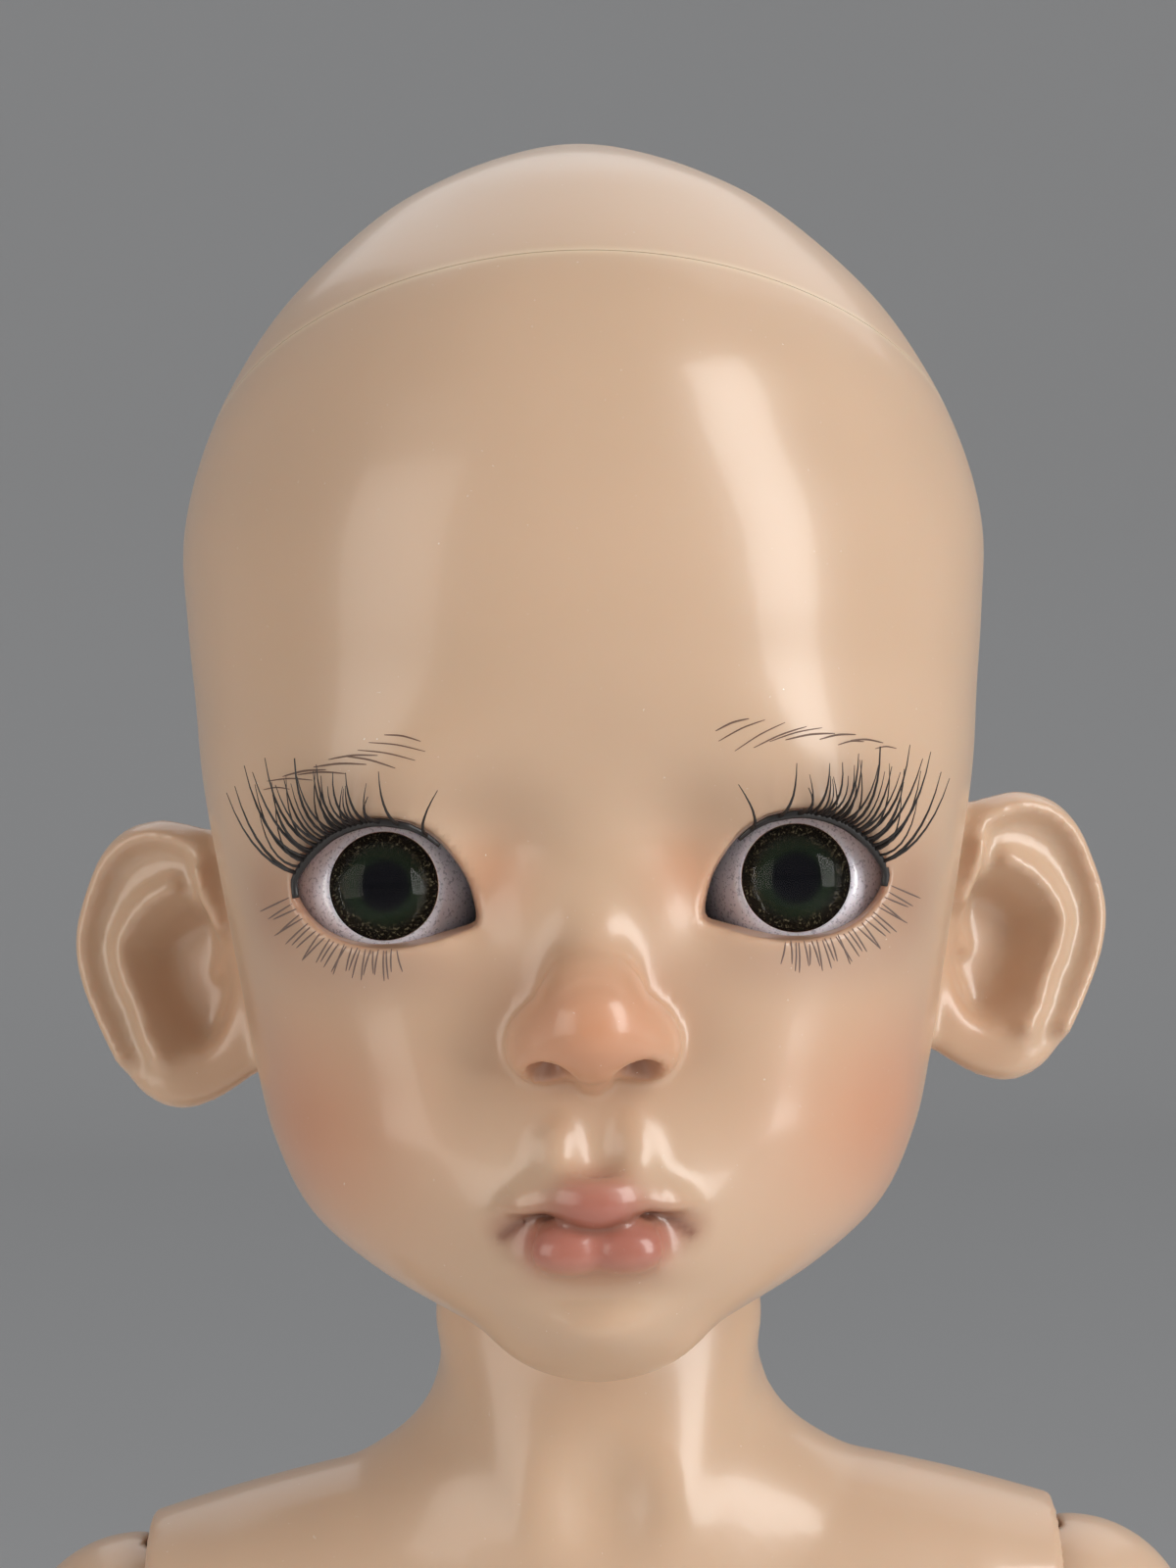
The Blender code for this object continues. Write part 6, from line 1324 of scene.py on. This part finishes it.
def build_pelvis(resin):
    bottom, top = HIP_Z - 12.0, WAIST_Z - WAIST_BALL * 0.12
    form = Form((-29, -13, 184), (29, 25.5, 266.5), 0.6)
    rows = [(bottom + up * (top - bottom), wide * PELVIS_HALF[0], front * PELVIS_HALF[1],
             back * PELVIS_HALF[1]) for up, wide, front, back in PELVIS_ROWS]
    form.skin(limb_skin(0, rows, 8, 96))
    form.apply(ball((0, BODY_Y, WAIST_Z), WAIST_BALL), "add", 0.6)
    floor, roof = HIP_Z + HIP_BALL + 3.3, WAIST_Z + WAIST_BALL + 3
    hollow = [(floor + up * (roof - floor), wide * 19.0, deep * 15.8, deep * 15.8)
              for up, wide, deep in HIP_HOLLOW_ROWS]
    form.skin(limb_skin(0, hollow, 6, 64), 0.5, "cut")
    for side in (-1, 1):
        x = side * HIP_X
        hip = (x, BODY_Y, HIP_Z)
        form.apply(rod(hip, (x, BODY_Y, floor + 3), 3.3), "cut", 0.3)
        wide = HIP_NECK + 2 * JOINT_GAP
        arch = [(x - wide, HIP_Z - 20), (x + wide, HIP_Z - 20)]
        arch += [(x + wide * math.cos(a), HIP_Z + wide * math.sin(a)) for a in np.linspace(0, np.pi, 25)]

        def notch(px, py, pz):
            return np.maximum(outline_distance(px, pz, arch) + 0 * py, py - BODY_Y + 0 * pz)
        form.apply(((x - wide, -14, HIP_Z - 14), (x + wide, BODY_Y, HIP_Z + wide), notch), "cut", 0.8)
        form.apply(ball(hip, HIP_BALL + JOINT_GAP), "cut", 0.5)
    add_form("pelvis_shell", form, resin, "pelvis_body", "pelvis")


def rim_plane(x, height, radius, front, back, keep_above):
    """The sloped plane of a limb's rim, from its front edge's height to its back edge's."""
    slope = math.atan2(back - front, 2 * radius)
    normal = np.array((0, -math.sin(slope), math.cos(slope)))
    point = (x, BODY_Y, height + (front + back) / 2)
    return half_space(point, -normal if keep_above else normal)


def build_joint(name, body, node, x, height, span, radius, slot_side, resin, move):
    """Two balls in one casting with a bore and a slot along the folding side."""
    form = Form((x - radius - 1, BODY_Y - radius - 1, height - span - radius - 1),
                (x + radius + 1, BODY_Y + radius + 1, height + span + radius + 1), 0.4)
    top, low = (x, BODY_Y, height + span), (x, BODY_Y, height - span)
    form.apply(ball(top, radius)).apply(ball(low, radius))
    form.apply(rod(low, top, radius * 0.93), "add", 0.4)
    form.apply(rod((x, BODY_Y, height - span - radius - 3), (x, BODY_Y, height + span + radius + 3),
                   CHANNEL_RADIUS * 0.85), "cut", 0.4)
    half = CHANNEL_RADIUS * 0.8
    for sign in (-1, 1):
        z = height + sign * span
        far = z + sign * (radius + 3)
        low = (x - half, min(BODY_Y, BODY_Y + slot_side * (radius + 3)), min(z, far))
        high = (x + half, max(BODY_Y, BODY_Y + slot_side * (radius + 3)), max(z, far))
        form.apply(block(low, high, 0.2), "cut", 0.4)
    add_form(name, form, resin, body, node, move)


def build_hand(side, resin, move):
    x = side * SHOULDER_X
    wrist = np.array((x, BODY_Y, WRIST_Z))
    form = Form(wrist + (-11, -13, -44), wrist + (11, 11.5, 5.6), 0.28)
    form.apply(ball(wrist, WRIST_BALL))
    form.apply(rod(wrist - (0, 0, 3.2), wrist - (0, 0, 7.5), 3.2, 3.1), "add", 0.5)
    top = WRIST_Z - 5.6
    rows = ((0.00, 0.50, 0.95, 0.00), (0.25, 0.80, 1.05, 0.06), (0.55, 1.00, 1.02, 0.05),
            (0.85, 1.00, 0.86, 0.00), (1.00, 0.86, 0.62, 0.00))
    turn = 2 * np.pi * np.arange(48) / 48
    rings = []
    for i in range(25):
        down, wide, thick, lean = catmull(rows, 4 * i / 24)
        rings.append(np.stack([x + thick * 3.3 * np.sin(turn), BODY_Y + 7.4 * (wide * np.cos(turn) - lean),
                               np.full(48, top - down * 18.0)], 1))
    form.skin(rings, 1.2)
    knuckles = top - 18.0 * 0.86
    bends = ((0.00, 0.00), (0.35, 0.02), (0.70, 0.10), (0.94, 0.22), (1.00, 0.25))
    for place, long, thick in ((-0.74, 0.90, 0.93), (-0.25, 1.00, 1.0), (0.25, 0.94, 0.97), (0.73, 0.76, 0.87)):
        base = np.array((x, BODY_Y + place * 7.2, knuckles))
        splay = np.array((0, place * 0.9, 0))
        path = [base + (-side * bend * 8.25, 0, -down * 16.5 * long) + splay * down for down, bend in bends]
        radii = [1.62 * thick * share for share in (1.02, 1.0, 0.93, 0.80, 0.62)]
        finger = blank_like(form)
        for a, b, ra, rb in zip(path[:-1], path[1:], radii[:-1], radii[1:]):
            finger.apply(rod(a, b, ra, rb), "add", 0.3)
        for joint in (1, 2):
            finger.apply(ball(path[joint], radii[joint] * 1.06), "add", 0.5)
            crease = path[joint] - np.array((side * (radii[joint] + 0.12), 0, 0))
            finger.apply(rod(crease - (0, 1.6, 0), crease + (0, 1.6, 0), 0.2), "cut", 0.35)
        form.values = smooth_min(form.values, finger.values, 0.45)
        nail = (path[3] + path[2]) / 2 + np.array((side * radii[3] * 0.84, 0, -1.0 * long))
        lean = Matrix.Rotation(side * math.radians(14), 3, "Y")
        form.apply(ellipsoid(nail, (0.42, radii[3] * 0.78, 1.45), lean), "add", 0.12)
        form.apply(ellipsoid(base + (side * 1.6, 0, 0.4), (1.3, 1.1, 1.4)), "add", 1.6)
    root = np.array((x - side * 3.3 * 0.30, BODY_Y - 7.4 * 0.55, top - 18.0 * 0.22))
    away = np.array((-side * 0.25, -0.62, -0.75))
    away /= np.linalg.norm(away)
    path = [root + away * down * 12.5 + (0, 0, -bend * 6.25) for down, bend in bends]
    radii = [2.35, 2.05, 1.82, 1.5, 1.1]
    for a, b, ra, rb in zip(path[:-1], path[1:], radii[:-1], radii[1:]):
        form.apply(rod(a, b, ra, rb), "add", 0.9)
    form.apply(ellipsoid(path[3] + (side * 1.25, -0.35, 0.5), (0.45, 1.0, 1.4)), "add", 0.12)
    half = CHANNEL_RADIUS * 0.6
    form.apply(block((x - 9, BODY_Y - half, WRIST_Z - 1.7), (x + 9, BODY_Y + half, WRIST_Z + 9), 0.2), "cut", 0.4)
    name = side_name(side)
    add_form(f"hand_and_fingers_{name}", form, resin, f"hand_body_{name}", f"hand_{name}", move)


def build_arm(side, resin):
    name = side_name(side)
    x = side * SHOULDER_X
    shoulder = Vector((x, BODY_Y, SHOULDER_Z)) * MM
    move = (Matrix.Translation(shoulder) @ Matrix.Rotation(-side * ARM_LEAN, 4, "Y")
            @ Matrix.Translation(-shoulder))
    form = Form((x - 11, BODY_Y - 11, ELBOW_Z - 2), (x + 11, BODY_Y + 11, SHOULDER_Z + 10.5), 0.5)
    pivot = (x, BODY_Y, SHOULDER_Z)
    form.apply(ball(pivot, SHOULDER_BALL))
    form.apply(rod((x, BODY_Y, SHOULDER_Z - 5), (x, BODY_Y, SHOULDER_Z - 15), SHOULDER_NECK), "add", 0.4)
    rows = rows_below(SHOULDER_Z, SHOULDER_Z - ELBOW_Z, 8.2, UPPER_ARM_ROWS)
    rows = [(SHOULDER_Z - YOKE_END - JOINT_GAP, 5.2, 5.2, 5.2)] + rows
    form.skin(limb_skin(x, rows), 0.5)
    joint = ELBOW_Z + ELBOW_SPAN
    form.apply(rim_plane(x, joint, 7.6, 3.5, -2.4, True), "keep", 0.7)
    form.apply(ball((x, BODY_Y, joint), ELBOW_BALL + JOINT_GAP), "cut", 0.5)
    form.apply(rod((x, BODY_Y, joint), pivot, CHANNEL_RADIUS), "cut", 0.3)
    reach = 2 * SHOULDER_BALL
    fan = CHANNEL_RADIUS + reach * math.tan(math.radians(30))
    rings = []
    for height, wide in ((-CHANNEL_RADIUS, fan), (CHANNEL_RADIUS, fan), (reach, CHANNEL_RADIUS)):
        rings.append([(x + side * 1.1, BODY_Y - CHANNEL_RADIUS, SHOULDER_Z + height),
                      (x + side * 1.1, BODY_Y + CHANNEL_RADIUS, SHOULDER_Z + height),
                      (x - side * reach, BODY_Y + wide, SHOULDER_Z + height),
                      (x - side * reach, BODY_Y - wide, SHOULDER_Z + height)])
    form.skin(rings, 0.5, "cut")
    add_form(f"upper_arm_shell_{name}", form, resin, f"upper_arm_body_{name}", f"upper_arm_{name}", move)
    build_joint(f"elbow_double_ball_{name}", f"elbow_body_{name}", f"elbow_joint_{name}", x, ELBOW_Z,
                ELBOW_SPAN, ELBOW_BALL, -1, resin, move)
    form = Form((x - 9.5, BODY_Y - 9.5, WRIST_Z - 1), (x + 9.5, BODY_Y + 9.5, ELBOW_Z + 6), 0.45)
    rows = rows_below(ELBOW_Z, ELBOW_Z - WRIST_Z, 7.5, FOREARM_ROWS)
    rows += [(WRIST_Z + 0.8, 5.6, 5.6, 5.6), (WRIST_Z - 2.5, 5.6, 5.6, 5.6)]
    form.skin(limb_skin(x, rows))
    form.apply(half_space((x, BODY_Y, WRIST_Z + 0.8), (0, 0, -1)), "keep", 0.5)
    joint = ELBOW_Z - ELBOW_SPAN
    form.apply(rim_plane(x, joint, 7.6, -3.5, 2.4, False), "keep", 0.7)
    form.apply(ball((x, BODY_Y, joint), ELBOW_BALL + JOINT_GAP), "cut", 0.5)
    form.apply(ball((x, BODY_Y, WRIST_Z), WRIST_BALL + JOINT_GAP), "cut", 0.35)
    form.apply(rod((x, BODY_Y, joint), (x, BODY_Y, WRIST_Z), CHANNEL_RADIUS), "cut", 0.3)
    add_form(f"forearm_shell_{name}", form, resin, f"forearm_body_{name}", f"forearm_{name}", move)
    build_hand(side, resin, move)


def build_foot(side, resin):
    x = side * HIP_X
    form = Form((x - 14, -41, -1), (x + 14, 23, 34.5), 0.4)
    rows = ((0.00, 0.42, 0.42, 0.00), (0.06, 0.66, 0.76, 0.00), (0.18, 0.74, 0.98, 0.00),
            (0.34, 0.72, 1.00, 0.00), (0.50, 0.80, 0.86, 0.02), (0.66, 0.94, 0.66, 0.05),
            (0.80, 1.00, 0.50, 0.08), (0.90, 0.97, 0.40, 0.08), (0.955, 0.86, 0.30, 0.08))
    arc = np.pi * np.arange(41) / 40
    rings = []
    for i in range(49):
        along, wide, tall, lean = catmull(rows, 8 * i / 48)
        middle, half, high = x - side * lean * 11.6, wide * 11.6, tall * 18.5
        across = np.concatenate([middle + half * np.cos(arc), [middle - half * 0.84, middle + half * 0.84]])
        up = np.concatenate([high * (0.14 + 0.86 * np.sin(arc) ** 0.8), [-1.0, -1.0]])
        rings.append(np.stack([across, np.full(43, BODY_Y + 15.5 - along * 60.0), up], 1))
    form.skin(rings)
    form.apply(rod((x, BODY_Y, ANKLE_Z - 4.6), (x, BODY_Y, 11), 5.6, 6.2), "add", 3.0)
    for out in (-1, 1):
        form.apply(ellipsoid((x + out * 5.6, BODY_Y + 0.5, 17.2), (2.2, 2.6, 2.6)), "add", 2.6)
    form.apply(ball((x, BODY_Y, ANKLE_Z), ANKLE_BALL), "add", 0.4)
    form.apply(ellipsoid((x - side * 13.5, BODY_Y - 12, 1.0), (4.6, 11, 3.4)), "cut", 2.5)
    for across, along, size in ((-0.66, 0.93, 1.30), (-0.14, 0.955, 0.92), (0.26, 0.94, 0.86),
                                (0.60, 0.91, 0.80), (0.90, 0.865, 0.74)):
        radius = 3.0 * size
        centre = np.array((x + side * across * 11.6, BODY_Y + 15.5 - along * 60.0, radius * 0.92))
        form.apply(ellipsoid(centre + (0, 2.0, 0.3), (radius * 0.93, radius * 1.7, radius * 0.86)), "add", 0.7)
        form.apply(ball(centre + (0, -radius * 0.72, 0), radius * 0.96), "add", 0.5)
        nail = centre + (0, -radius * 1.0, radius * 0.74)
        tip = Matrix.Rotation(math.radians(24), 3, "X")
        form.apply(ellipsoid(nail, (radius * 0.60, radius * 0.62, 0.42), tip), "add", 0.15)
    form.apply(half_space((x, BODY_Y, 0), (0, 0, -1)), "keep", 0.8)
    half = CHANNEL_RADIUS * 0.6
    form.apply(block((x - half, BODY_Y - 14, ANKLE_Z - 1.7), (x + half, BODY_Y + 14, ANKLE_Z + 12), 0.2),
               "cut", 0.4)
    name = side_name(side)
    add_form(f"foot_and_toes_{name}", form, resin, f"foot_body_{name}", f"foot_{name}")


def build_leg(side, resin):
    name = side_name(side)
    x = side * HIP_X
    hip = (x, BODY_Y, HIP_Z)
    form = Form((x - 15, BODY_Y - 15, KNEE_Z - 1), (x + 15, BODY_Y + 15, HIP_Z + 13.5), 0.55)
    form.apply(ball(hip, HIP_BALL))
    form.apply(rod((x, BODY_Y, HIP_Z - 6), (x, BODY_Y, HIP_Z - 21), HIP_NECK), "add", 0.4)
    rows = rows_below(HIP_Z, HIP_Z - KNEE_Z, 12.2, THIGH_ROWS)
    rows = [(HIP_Z - 15.8 - JOINT_GAP, 7.0, 7.0, 7.0)] + rows
    form.skin(limb_skin(x, rows), 0.5)
    joint = KNEE_Z + KNEE_SPAN
    form.apply(rim_plane(x, joint, 10.9, -3.2, 5.0, True), "keep", 0.8)
    form.apply(ball((x, BODY_Y, joint), KNEE_BALL + JOINT_GAP), "cut", 0.5)
    form.apply(rod((x, BODY_Y, joint), hip, CHANNEL_RADIUS), "cut", 0.3)
    spare = CHANNEL_RADIUS * 0.7
    back = HIP_BALL * math.sin(math.radians(15)) + spare
    form.apply(block((x - CHANNEL_RADIUS, BODY_Y - 25, HIP_Z - spare),
                     (x + CHANNEL_RADIUS, BODY_Y + back, HIP_Z + 25), 0.3), "cut", 0.4)
    out = HIP_BALL * math.sin(math.radians(30)) + CHANNEL_RADIUS * 0.8
    across = (-side * CHANNEL_RADIUS, side * out)
    form.apply(block((x + min(across), BODY_Y - CHANNEL_RADIUS, HIP_Z + CHANNEL_RADIUS),
                     (x + max(across), BODY_Y + CHANNEL_RADIUS, HIP_Z + 25), 0.3), "cut", 0.4)
    form.apply(ball(hip, 5.75), "cut", 0.4)
    add_form(f"thigh_shell_{name}", form, resin, f"thigh_body_{name}", f"thigh_{name}")
    build_joint(f"knee_double_ball_{name}", f"knee_body_{name}", f"knee_joint_{name}", x, KNEE_Z,
                KNEE_SPAN, KNEE_BALL, 1, resin, None)
    form = Form((x - 14, BODY_Y - 14, ANKLE_Z - 1), (x + 14, BODY_Y + 14, KNEE_Z + 6.5), 0.5)
    rows = rows_below(KNEE_Z, KNEE_Z - ANKLE_Z, 10.8, CALF_ROWS)
    rows += [(ANKLE_Z + 1.6, 8.9, 8.9, 8.9), (ANKLE_Z - 2.5, 8.9, 8.9, 8.9)]
    form.skin(limb_skin(x, rows))
    form.apply(half_space((x, BODY_Y, ANKLE_Z + 1.6), (0, 0, -1)), "keep", 0.6)
    joint = KNEE_Z - KNEE_SPAN
    form.apply(rim_plane(x, joint, 10.9, 3.2, -5.0, False), "keep", 0.8)
    form.apply(ball((x, BODY_Y, joint), KNEE_BALL + JOINT_GAP), "cut", 0.5)
    form.apply(ball((x, BODY_Y, ANKLE_Z), ANKLE_BALL + JOINT_GAP), "cut", 0.4)
    form.apply(rod((x, BODY_Y, joint), (x, BODY_Y, ANKLE_Z), CHANNEL_RADIUS), "cut", 0.3)
    add_form(f"calf_shell_{name}", form, resin, f"calf_body_{name}", f"calf_{name}")
    build_foot(side, resin)


def main():
    make_camera()
    make_stage()
    resin = resin_material()
    finishes = {
        "cast_resin": resin, "eye_white": sclera_material(), "iris": iris_material(),
        "eye_glass": cornea_material(), "eye_putty": plain_material("eye_putty", (0.70, 0.67, 0.62), 0.7),
        "lash": plain_material("lash", (0.012, 0.010, 0.010), 0.45), "elastic": elastic_material(),
        "wire_steel": plain_material("wire_steel", (0.60, 0.60, 0.61), 0.25, 1.0),
        "magnet": plain_material("magnet", (0.52, 0.52, 0.54), 0.22, 1.0),
    }
    slots = {row["node"]: row["material_slot"] for row in frame["record"]["subparts"]}
    for name, node in frame["nodes"].items():
        node.data.materials.clear()
        node.data.materials.append(finishes[slots[name]])
        if slots[name] == "cast_resin":
            layer = node.data.attributes.new("tint", "FLOAT_COLOR", "POINT")
            layer.data.foreach_set("color", np.ones(len(node.data.vertices) * 4, np.float32))
    face = build_head(resin)
    brown = paint_material("brow_paint", (0.150, 0.085, 0.058))
    grey = paint_material("lower_lash_paint", (0.170, 0.115, 0.095))
    for side in (-1, 1):
        build_eye(side, finishes["eye_white"], finishes["iris"], finishes["eye_glass"])
        build_lashes(face, side, finishes["lash"])
        build_paint(face, side, brown, grey)
    build_chest(resin)
    build_pelvis(resin)
    for side in (-1, 1):
        build_arm(side, resin)
        build_leg(side, resin)


main()
bpy.context.scene.view_settings.view_transform = "Standard"
